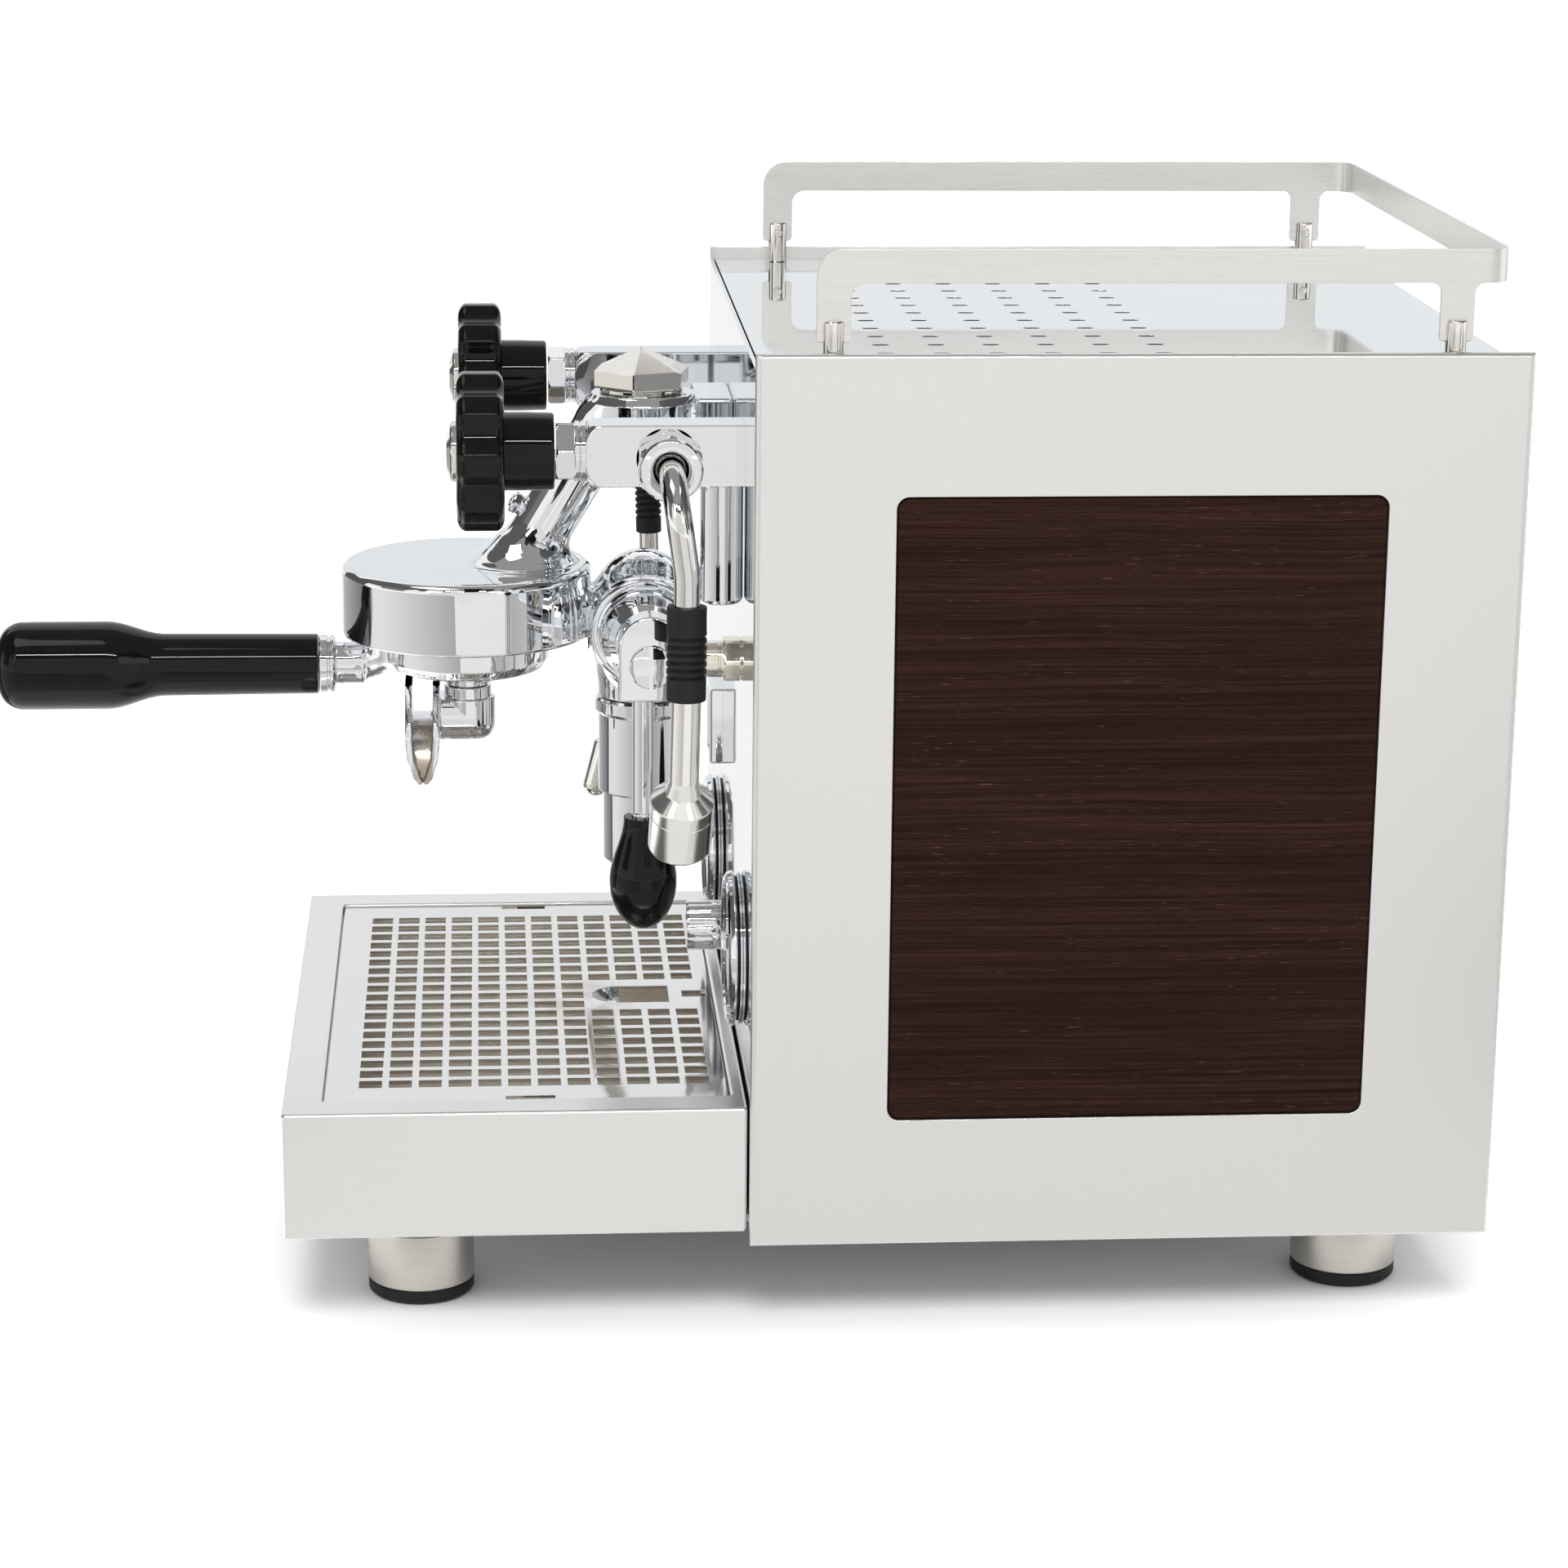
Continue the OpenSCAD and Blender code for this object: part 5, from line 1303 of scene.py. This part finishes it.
def knob(x, body, nm):
    hs, ins = [], []
    for a in np.linspace(0, pi / 2, 9):
        hs.append(86.95 + 3.2 * (1 - math.cos(a)))
        ins.append(5.0 * (1 - math.sin(a)))
    for h in (92, 94, 96, 98):
        hs.append(h)
        ins.append(0)
    for a in np.linspace(0, pi / 2, 9):
        hs.append(104.3 - 3.4 * (1 - math.sin(a)))
        ins.append(5.4 * (1 - math.cos(a)))
    th0 = np.arange(360) * 2 * pi / 360
    base = star(th0)
    rows = []
    L = np.column_stack([base * np.cos(th0), base * np.sin(th0)])
    for h, i in zip(hs, ins):
        Lo = L * (1 - i / 28.9)
        rows.append(np.column_stack([Lo, np.full(360, h)]))
    # front face: shallow dish, then a recess for the cap
    Lf = rows[-1][:, :2]
    rmin = 14.0
    for q, z in ((0.12, 104.15), (0.35, 103.7), (0.7, 103.1), (1.0, 102.95)):
        ring = np.column_stack([rmin * np.cos(th0), rmin * np.sin(th0)])
        rows.append(np.column_stack([Lf * (1 - q) + ring * q, np.full(360, z)]))
    for r, z in ((13.0, 103.0), (12.4, 103.25), (11.7, 103.2), (11.4, 102.9)):
        rows.append(np.column_stack([r * np.cos(th0), r * np.sin(th0), np.full(360, z)]))
    # rear face back to the hub
    Lb = rows[0][:, :2]
    rear = []
    for q, z in ((1.0, 88.2), (0.55, 87.7), (0.15, 87.05)):
        ring = np.column_stack([16.2 * np.cos(th0), 16.2 * np.sin(th0)])
        rear.append(np.column_stack([Lb * (1 - q) + ring * q, np.full(360, z)]))
    hub = [(13.2, 69.0), (13.6, 69.15), (13.85, 69.6), (13.95, 70.3), (14.2, 80.0), (14.2, 86.4), (14.5, 87.4), (15.2, 88.0)]
    rear2 = [np.column_stack([r * np.cos(th0), r * np.sin(th0), np.full(360, z)]) for r, z in hub]
    rows = rear2 + rear + rows
    M = at(loft(rows, closed=False, cap0=True, cap1=True), (x, 0, VZ), "-y")
    add(f"{nm}_star_knob", M, M_BAKE, body, [f"{nm}_knob"], angle=40)


knob(VX, "water_handwheel", "water")
knob(-VX, "steam_handwheel", "steam")
for s, nm in ((1, "water"), (-1, "steam")):
    P = prof((0, 103.0), (10.4, 103.0), (11.0, 103.5, 0.3), (11.0, 105.9, 0.5), (10.2, 106.5, 0.8), (6.6, 107.8, 2.5), (0, 108.2))
    add(f"{nm}_cap_disc", at(lathe(P, 96), (s * VX, 0, VZ), "-y"), M_NICKEL, f"{nm}_spindle", [f"{nm}_knob_cap"])

# ---------------- wands ----------------
def rotx(v, deg, o):
    a = math.radians(deg)
    v = np.asarray(v, float) - o
    return np.stack([v[..., 0], v[..., 1] * math.cos(a) - v[..., 2] * math.sin(a), v[..., 1] * math.sin(a) + v[..., 2] * math.cos(a)], -1) + o


def wand_path(tilt, run):
    pts = [BJ + [4.5, 0, 0], BJ + [25, 0, 0], BJ + [25, 0, -20 - run]]
    P = fillet([(pts[0], 0), (pts[1], 19.8), (pts[2], 0)], seg=22)
    return rotx(P, tilt, BJ)


# hot water: polished bend, then a satin lower tube and nozzle
P1 = wand_path(8.1, 12.0)
tail = fillet([(P1[-1], 0), ((126, -22.62, 282.85), 60), ((126, -22.92, 237.0), 0)], seg=10)
P1 = resample(np.vstack([P1[:-1], tail]), 1.6)
wand = [tube(P1, 4.8, 56)]
ball = lathe(prof((0, -6.4), *[(6.4 * math.cos(a), 6.4 * math.sin(a)) for a in np.linspace(-pi / 2 + 0.1, 0.78, 24)], (5.0, 4.7), (4.85, 5.2), (4.8, 6.0)), 72)
wand.append(at(ball, BJ, "x"))
add("water_wand_tube", join(*wand), M_TUBE, "hot_water_wand", ["water_wand"])
low = tube(np.array([(126, -22.9, 237.3), (126, -23.6, 206.9)]), 5.45, 64)
P = prof((0, 4.0), (3.4, 4.0), (4.95, 2.2, 0.8), (5.45, -0.5, 0.6), (6.6, -4.9, 1.2), (11.45, -9.2, 0.35), (11.6, -9.7, 0.2), (11.6, -15.0, 0.12), (11.42, -15.2), (11.6, -15.4, 0.12),
         (11.6, -31.0, 1.6), (10.2, -32.5, 0.5), (9.4, -32.5, 0.2), (9.0, -31.3), (8.2, -30.9), (0, -30.9))[::-1]
ca, sa = math.cos(math.radians(27)), math.sin(math.radians(27))
cb, sb = math.cos(math.radians(-1.6)), math.sin(math.radians(-1.6))
tilt_y = np.array([[ca, 0, sa], [0, 1, 0], [-sa, 0, ca]])
tilt_x = np.array([[1, 0, 0], [0, cb, -sb], [0, sb, cb]])
noz = at(lathe(P, 160), (126, -23.6, 207.5), tilt_y @ tilt_x)
add("water_nozzle", join(fix_normals(low), fix_normals(noz)), M_ALU, "hot_water_wand")

# steam wand
P2 = wand_path(1.2, 64.0)
P2[:, 0] *= -1
tail = fillet([(P2[-1], 0), ((-126, -25.69, 230.82), 30), ((-126, -43.7, 157.0), 0)], seg=12)
P2 = resample(np.vstack([P2[:-1], tail]), 2.0)
st = [tube(P2, 4.1, 48)]
st.append(at(ball, BJ * [-1, 1, 1], "-x"))
d = np.array([0, -48.4 + 43.7, 139.5 - 158.0])
L = np.linalg.norm(d)
tp = prof((0, -0.4), (4.2, -0.4), (5.3, 0.6, 0.5), (5.3, L), *[(5.5 * math.cos(a), L + 5.5 * math.sin(a)) for a in np.linspace(0.3, pi / 2, 12)])
st.append(at(fix_normals(lathe(tp, 64)), (-126, -43.7, 158), basis(d, (1, 0, 0))))
add("steam_wand_tube", join(*st), M_NICKEL, "steam_wand_assembly", ["steam_wand"])


def grip(R, r0, L, ribs, z0, z1, n=96):
    """Ribbed rubber sleeve: plain ends, rounded ribs between z0 and z1."""
    pts = [(r0, 0.15), (r0 + 0.4, 0), (R - 0.5, 0), (R - 0.12, 0.15), (R, 0.55)]
    pitch = (z1 - z0) / ribs
    for i in range(ribs):
        a = z0 + i * pitch
        pts += [(R, a), (R - 0.2, a + 0.12), (R - 0.62, a + 0.3), (R - 0.7, a + 0.55), (R - 0.5, a + 0.85), (R + 0.0, a + 1.35), (R + 0.12, a + pitch * 0.62), (R + 0.08, a + pitch - 0.3)]
    pts += [(R, z1), (R, L - 0.55), (R - 0.12, L - 0.15), (R - 0.5, L), (r0 + 0.4, L), (r0, L - 0.15)]
    return fix_normals(lathe(np.array(pts), n, closed=True))


a, b = np.array([126, -22.91, 237.5]), np.array([126, -22.69, 272.0])
add("water_grip_sleeve", at(grip(7.2, 4.85, 34.4, 6, 8.5, 25.5), a, basis(b - a, (1, 0, 0))), M_RUBBER, "hot_water_wand", ["water_grip"])
o = rotx(np.array([-126, BJ[1], BJ[2] - 69.0]), 1.2, np.array([-126, BJ[1], BJ[2]]))
d = rotx(np.array([-126, BJ[1], BJ[2] - 36.3]), 1.2, np.array([-126, BJ[1], BJ[2]])) - o
add("steam_grip_sleeve", at(grip(5.3, 4.2, 32.7, 7, 6.5, 25.0), o, basis(d, (1, 0, 0))), M_RUBBER, "steam_wand_assembly", ["steam_grip"])

# ---------------- gauges ----------------
for s, nm in ((-1, "boiler"), (1, "pump")):
    x = s * GX
    # bezel: two beads with a groove between
    P = prof((25.25, 0.02), (28.4, 0.02, 0.3), (28.8, 0.4, 0.3), (28.8, 0.95, 0.25), (26.1, 1.1, 0.1), (26.1, 1.95, 0.1), (28.9, 2.05, 0.25), (29.5, 2.5, 0.4), (29.5, 2.9, 0.6), (28.6, 4.5, 1.2), (27.0, 5.35, 0.7), (25.9, 5.2, 0.5), (25.3, 4.35, 0.2))
    add(f"{nm}_gauge_bezel", at(fix_normals(lathe(P, 160, closed=True)), (x, 0, GZ), "-y"), M_CHROME, "machine", ["gauge_bezels"])
    # painted shade: a black ring laid in the bezel groove to darken the groove line
    P = prof_closed((26.15, 1.12), (27.4, 1.12, 0.2), (27.4, 1.93, 0.2), (26.15, 1.93))
    add(f"{nm}_gauge_groove_shade", at(fix_normals(lathe(P, 120, closed=True)), (x, 0, GZ), "-y"), M_PAD, "machine")
    P = prof((0, -20), (24.5, -20, 1), (25.1, -19, 0.5), (25.1, 3.2), (24.0, 3.2), (24.0, 1.2), (0, 1.2))
    add(f"{nm}_gauge_case", at(fix_normals(lathe(P, 120)), (x, 0, GZ), "-y"), M_BLACKP, "machine", ["gauge_cases"])
    P = prof((0, 1.15), (23.9, 1.15), (23.9, 1.42, 0.1), (0, 1.42))
    add(f"{nm}_dial_plate", at(fix_normals(lathe(P, 120)), (x, 0, GZ), "-y"), M_DIAL, "machine")
    marks = []
    nt = 30 if s < 0 else 32
    for i in range(nt + 1):
        a = math.radians(225 - 270 * i / nt)
        major = i % (10 if s < 0 else 8) == 0
        half = i % (5 if s < 0 else 4) == 0
        r0 = 17.6 if major else (18.6 if half else 19.6)
        w = 0.34 if major else (0.22 if half else 0.13)
        u, v = np.array([math.cos(a), math.sin(a)]), np.array([-math.sin(a), math.cos(a)])
        q = [u * r0 - v * w, u * 21.4 - v * w, u * 21.4 + v * w, u * r0 + v * w]
        m = plate(np.array(q), [], 1.42, 1.46, 0)
        marks.append(at(m, (x, 0, GZ), "-y"))
    ring = [np.column_stack([r * np.cos(np.linspace(math.radians(225), math.radians(-45), 91)), r * np.sin(np.linspace(math.radians(225), math.radians(-45), 91))]) for r in (21.4, 21.65)]
    m = plate(np.vstack([ring[0], ring[1][::-1]]), [], 1.42, 1.46, 0)
    marks.append(at(m, (x, 0, GZ), "-y"))
    labels = ["0", "1", "2", "3"] if s < 0 else ["0", "4", "8", "12", "16"]
    for i, t_ in enumerate(labels):
        a = math.radians(225 - 270 * i / (len(labels) - 1))
        cu = bpy.data.curves.new("digits", "FONT")
        cu.body = t_
        cu.size = 5.2
        cu.align_x, cu.align_y = "CENTER", "CENTER"
        cu.resolution_u = 4
        ob = bpy.data.objects.new("digits_tmp", cu)
        SCENE.collection.objects.link(ob)
        bpy.context.view_layer.update()
        me = bpy.data.meshes.new_from_object(ob.evaluated_get(bpy.context.evaluated_depsgraph_get()))
        V = np.array([v.co[:] for v in me.vertices])
        F = [tuple(p.vertices) for p in me.polygons]
        bpy.data.objects.remove(ob)
        bpy.data.curves.remove(cu)
        bpy.data.meshes.remove(me)
        V = V + [14.0 * math.cos(a), 14.0 * math.sin(a), 1.45]
        marks.append(at((V, F), (x, 0, GZ), "-y"))
    add(f"{nm}_dial_marks", join(*marks), M_INK, "machine", weighted=False)
    P = prof((0, 3.3), (25.05, 3.3), (25.05, 4.25, 0.2), (0, 4.25))
    add(f"{nm}_gauge_lens", at(fix_normals(lathe(P, 120)), (x, 0, GZ), "-y"), M_GLASS, "machine", ["gauge_lenses"])
    # needle: tapered blade, tail, hub
    q = [(-1.1, -6.5), (1.1, -6.5), (0.7, 0), (0.22, 18.6), (0, 19.2), (-0.22, 18.6), (-0.7, 0)]
    blade = plate(np.array(q, float), [], 2.2, 2.65, 0.06, 1)
    hub = lathe(prof((0, 1.5), (0.75, 1.5), (0.75, 2.0), (2.2, 2.0), (2.2, 2.7, 0.2), (0, 2.9)), 40)
    M = join(blade, hub)
    ca, sa = math.cos(math.radians(135)), math.sin(math.radians(135))
    V = M[0].copy()
    V = np.column_stack([V[:, 0] * ca - V[:, 1] * sa, V[:, 0] * sa + V[:, 1] * ca, V[:, 2]])
    add(f"{nm}_pointer", at((V, M[1]), (x, 0, GZ), "-y"), M_INK, f"{nm}_gauge_needle", [f"{nm}_needle"])

# ---------------- display window, switch knob ----------------
def rz(x0, x1, z0, z1, y, r):
    L = rrect_loop((x0 + x1) / 2, (z0 + z1) / 2, (x1 - x0) / 2, (z1 - z0) / 2, r, 4)
    return np.column_stack([L[:, 0], np.full(len(L), y), L[:, 1]])


loops = [rz(-56, -34, 171.7, 202.5, -0.02, 1.0), rz(-56, -34, 171.7, 202.5, -4.3, 1.0), rz(-55.7, -34.3, 172.0, 202.2, -4.95, 0.9), rz(-55.2, -34.8, 172.5, 201.7, -5.2, 0.8),
         rz(-53.4, -36.6, 174.3, 199.9, -5.2, 0.6), rz(-53.1, -36.9, 174.6, 199.6, -5.0, 0.5), rz(-53, -37, 174.7, 199.5, -3.05, 0.5)]
frame_m = fix_normals(loft(loops, closed=False, cap0=True, cap1=True))
add("display_frame", frame_m, M_CHROME, "machine", ["display_bezel"])
add("display_glass", rbox((-52.9, -3.2, 174.8), (-37.1, -3.0, 199.4), 0.05, 1), plastic("display_pane", (0.012, 0.013, 0.016), 0.08), "machine")

def sw_r(th, h):
    r = 9.8 - (max(0, h - 16.9) * 1.2)
    if h > 7.5:
        a = (th % (pi / 6)) - pi / 12
        flute = 0.55 * np.exp(-(a / 0.09) ** 2)
        return r - flute * min(1, (h - 7.5) / 0.8)
    return np.full_like(th, r)


hs = [0.45, 0.7, 4.8, 5.0, 5.3, 5.5, 7.4, 7.9, 8.4, 12, 16.6, 16.9, 17.2, 17.5]
def sw_r2(th, h):
    r = sw_r(th, h)
    if h in (5.0, 5.3):
        r = r - 0.35
    if h == 0.45:
        r = r - 0.3
    return r


knob_m = at(polar(sw_r2, hs, 288), (25, 0, 122.5), "-y")
dot = at(plate(np.array([(-0.45, 2.5), (0.45, 2.5), (0.45, 8.2), (-0.45, 8.2)]), [], 17.5, 17.56, 0), (25, 0, 122.5), "-y")
shaft = at(lathe(prof((0, -8), (4.2, -8), (4.2, 0.6), (0, 0.6)), 40), (25, 0, 122.5), "-y")
add("switch_knob_turned", join(knob_m, shaft), M_CHROME2, "switch_knob", ["power_knob"], angle=28)
add("switch_mark", dot, M_INK, "switch_knob", weighted=False)

# ---------------- finish the CAD nodes that stay ----------------
STAY = {"galvanised": M_GALV, "satin_steel": M_PANEL, "mirror_steel": M_MIRROR, "chrome": M_CHROME, "polished_nickel": M_NICKEL, "rubber": M_RUBBER,
        "wenge": M_WOOD, "tank_plastic": M_TANK, "copper": M_COPPER, "dark_metal": M_DARK, "brass": M_BRASS, "black_plastic": M_BLACKP,
        "glass": M_GLASS, "needle_black": M_INK, "bakelite": M_BAKE}
for n, ob in frame["nodes"].items():
    ob.data.materials.clear()
    ob.data.materials.append({"drip_basin": M_BASIN, "rear_panel": M_BOX}.get(n, STAY[REST_OF[n]]))

# ------------------------------------------------------------------
# floor, light, camera
# ------------------------------------------------------------------
def stage_plane(name, co, mat, **vis):
    me = bpy.data.meshes.new(name)
    me.from_pydata([tuple(c) for c in co], [], [(0, 1, 2, 3)])
    me.materials.append(mat)
    ob = bpy.data.objects.new(name, me)
    SCENE.collection.objects.link(ob)
    for k, v in vis.items():
        setattr(ob, k, v)
    return ob


nf = Nodes("floor_paper")
g = nf.noise(nf.map((40, 40, 40)), 1.0, 3, 0.5)
M_FLOOR = nf.set(color=nf.mix(nf.rng(g, 0.3, 0.7, 0, 1), (0.93, 0.93, 0.93), (0.92, 0.92, 0.921)), rough=nf.rng(g, 0.3, 0.7, 0.85, 0.9), spec=0.1)
stage_plane("floor", [(-14, -14, 0), (14, -14, 0), (14, 14, 0), (-14, 14, 0)], M_FLOOR)


def glow(name, strength, color=(1, 1, 1)):
    n = Nodes("card_" + name)
    n.t.nodes.remove(n.b)
    em = n.new("Emission")
    em.inputs["Color"].default_value = (*color, 1)
    em.inputs["Strength"].default_value = strength
    n.link(em.outputs[0], n.out.inputs["Surface"])
    return n.m


ONLY_GLOSS = dict(visible_camera=False, visible_diffuse=False, visible_shadow=False, visible_transmission=False)


def flat(name, x0, x1, y0, y1, z, strength, color=(1, 1, 1)):
    return stage_plane("card_" + name, [(x0, y0, z), (x1, y0, z), (x1, y1, z), (x0, y1, z)], glow(name, strength, color), **ONLY_GLOSS)


def wedge(name, a0, a1, r0, r1, z, strength, color=(1, 1, 1)):
    """Radial strip of paper lying on the table, seen only in reflections."""
    c = [(r * math.cos(math.radians(a)), r * math.sin(math.radians(a)), z) for a, r in ((a0, r0), (a0, r1), (a1, r1), (a1, r0))]
    return stage_plane("card_" + name, c, glow(name, strength, color), **ONLY_GLOSS)


def card(name, az, el, dist, w, h, strength, color=(1, 1, 1), tilt=0.0):
    """Flat card facing the object; az measured from +X towards +Y, degrees."""
    a, e = math.radians(az), math.radians(el)
    c = Vector((dist * math.cos(e) * math.cos(a), dist * math.cos(e) * math.sin(a), 0.2 + dist * math.sin(e)))
    f = (Vector((0, 0, 0.2)) - c).normalized()
    r = f.cross(Vector((0, 0, 1))).normalized()
    u = r.cross(f)
    t_ = math.radians(tilt)
    r2 = r * math.cos(t_) + u * math.sin(t_)
    u2 = u * math.cos(t_) - r * math.sin(t_)
    co = [c - r2 * w / 2 - u2 * h / 2, c + r2 * w / 2 - u2 * h / 2, c + r2 * w / 2 + u2 * h / 2, c - r2 * w / 2 + u2 * h / 2]
    return stage_plane("card_" + name, co, glow(name, strength, color), **ONLY_GLOSS)


def sweep(name, a0, a1, r0, r1, z, v0, v1, color=(1, 1, 1), steps=12):
    """Paper whose tone drifts from v0 to v1 across its angle."""
    c = [(r * math.cos(math.radians(a)), r * math.sin(math.radians(a)), z) for a, r in ((a0, r0), (a0, r1), (a1, r1), (a1, r0))]
    n = Nodes("card_" + name)
    n.t.nodes.remove(n.b)
    sep = n.new("SeparateXYZ")
    n.link(n.co, sep.inputs[0])
    ang = n.math("ARCTAN2", sep.outputs[1], sep.outputs[0])
    em = n.new("Emission")
    em.inputs["Color"].default_value = (*color, 1)
    n.link(n.rng(ang, math.radians(a0), math.radians(a1), v0, v1), em.inputs["Strength"])
    n.link(em.outputs[0], n.out.inputs["Surface"])
    return stage_plane("card_" + name, c, n.m, **ONLY_GLOSS)


WHITE = (1.0, 0.998, 0.99)
flat("table_near", 0.152, 0.36, -3, 3, 0.0012, 0.82, WHITE)
flat("table_front", 0.36, 0.72, -3, 3, 0.0015, 0.84, WHITE)
flat("table_front2", 0.72, 1.2, -3, 3, 0.0015, 0.95, WHITE)
flat("table_front3", 1.2, 3.0, -3, 3, 0.0015, 0.90, WHITE)
flat("table_back", -4, -0.33, -3, 3, 0.0015, 0.95, WHITE)
flat("table_left", -0.33, 0.36, -3, -0.42, 0.0015, 0.90, WHITE)
flat("table_right", -0.33, 0.36, 0.40, 3, 0.0015, 0.90, WHITE)
sweep("paper_grey", -84, -15, 0.5, 3.3, 0.003, 0.92, 0.48, (1.0, 0.985, 0.96))
wedge("strip_right", 37, 44, 0.55, 3.3, 0.003, 0.12)
wedge("strip_far", 66, 74, 0.55, 3.3, 0.003, 0.12)
wedge("strip_back", 118, 138, 0.6, 3.3, 0.003, 0.10)
wedge("strip_back2", -150, -128, 0.6, 3.3, 0.003, 0.10)
card("wall_low", -4, 3, 3.05, 3.6, 0.62, 0.84, WHITE)
card("room_wall", -4, 18, 3.1, 3.6, 1.05, 0.85)
sweep("room_front", -150, -104, 0.45, 3.3, 0.004, 0.55, 0.20)
wedge("room_edge", -104, -100, 0.45, 3.3, 0.004, 0.02)
card("room_front_wall", -124, 12, 2.7, 2.0, 1.5, 0.10)
card("upper_front", -4, 47, 3.0, 4.6, 1.7, 0.09)
card("upper_left", -92, 42, 3.0, 3.6, 2.6, 0.12)
card("upper_right", 84, 42, 3.0, 3.6, 2.6, 0.12)
card("back_wall", 176, 18, 3.2, 5.2, 2.2, 0.90, (0.965, 0.985, 1.0))
card("wall_right", 58, 12, 2.8, 1.3, 1.1, 0.12)
card("wall_left", -72, 16, 2.8, 1.2, 1.0, 0.20)
card("ceiling", -4, 84, 2.3, 2.6, 3.4, 0.34, (1.0, 0.985, 0.96))
card("soft_left", -34, 30, 2.4, 0.55, 0.85, 1.9)
card("soft_right", 25, 26, 2.4, 0.45, 0.75, 1.7)
card("soft_top", -60, 66, 2.1, 0.9, 0.7, 2.4)
card("key_line", -4, 41, 2.2, 1.25, 0.05, 60.0)

world = bpy.data.worlds.new("studio")
SCENE.world = world
world.use_nodes = True
bg = world.node_tree.nodes["Background"]
bg.inputs[0].default_value = (0.99, 0.995, 1.0, 1)
bg.inputs[1].default_value = 1.05

sun = bpy.data.lights.new("sky_panel", "SUN")
sun.energy = 1.9
sun.angle = math.radians(22)
so = bpy.data.objects.new("sky_panel", sun)
SCENE.collection.objects.link(so)
so.visible_glossy = False
so.rotation_euler = (math.radians(3), math.radians(40), 0)

CAM = np.array([1.540557, -0.091120, 0.584919])
YAW, PITCH, ROLL, FPX = 0.0752730, 0.2610501, 0.0095646, 4980.247
d = np.array([-math.cos(YAW) * math.cos(PITCH), math.sin(YAW) * math.cos(PITCH), -math.sin(PITCH)])
r = np.cross(d, (0, 0, 1.0))
r /= np.linalg.norm(r)
u = np.cross(r, d)
r2 = math.cos(ROLL) * r + math.sin(ROLL) * u
u2 = -math.sin(ROLL) * r + math.cos(ROLL) * u
cam = bpy.data.cameras.new("camera")
cam.sensor_fit = "HORIZONTAL"
cam.sensor_width = 36
cam.lens = FPX * 36 / 1920
cam.clip_start, cam.clip_end = 0.05, 60
cam.dof.use_dof = False
cob = bpy.data.objects.new("camera", cam)
SCENE.collection.objects.link(cob)
cob.matrix_world = Matrix([[r2[0], u2[0], -d[0], CAM[0]], [r2[1], u2[1], -d[1], CAM[1]], [r2[2], u2[2], -d[2], CAM[2]], [0, 0, 0, 1]])
SCENE.camera = cob
SCENE.view_settings.view_transform = "Standard"
SCENE.view_settings.look = "None"
SCENE.view_settings.exposure = 0.0
SCENE.cycles.max_bounces = 14
SCENE.cycles.glossy_bounces = 10
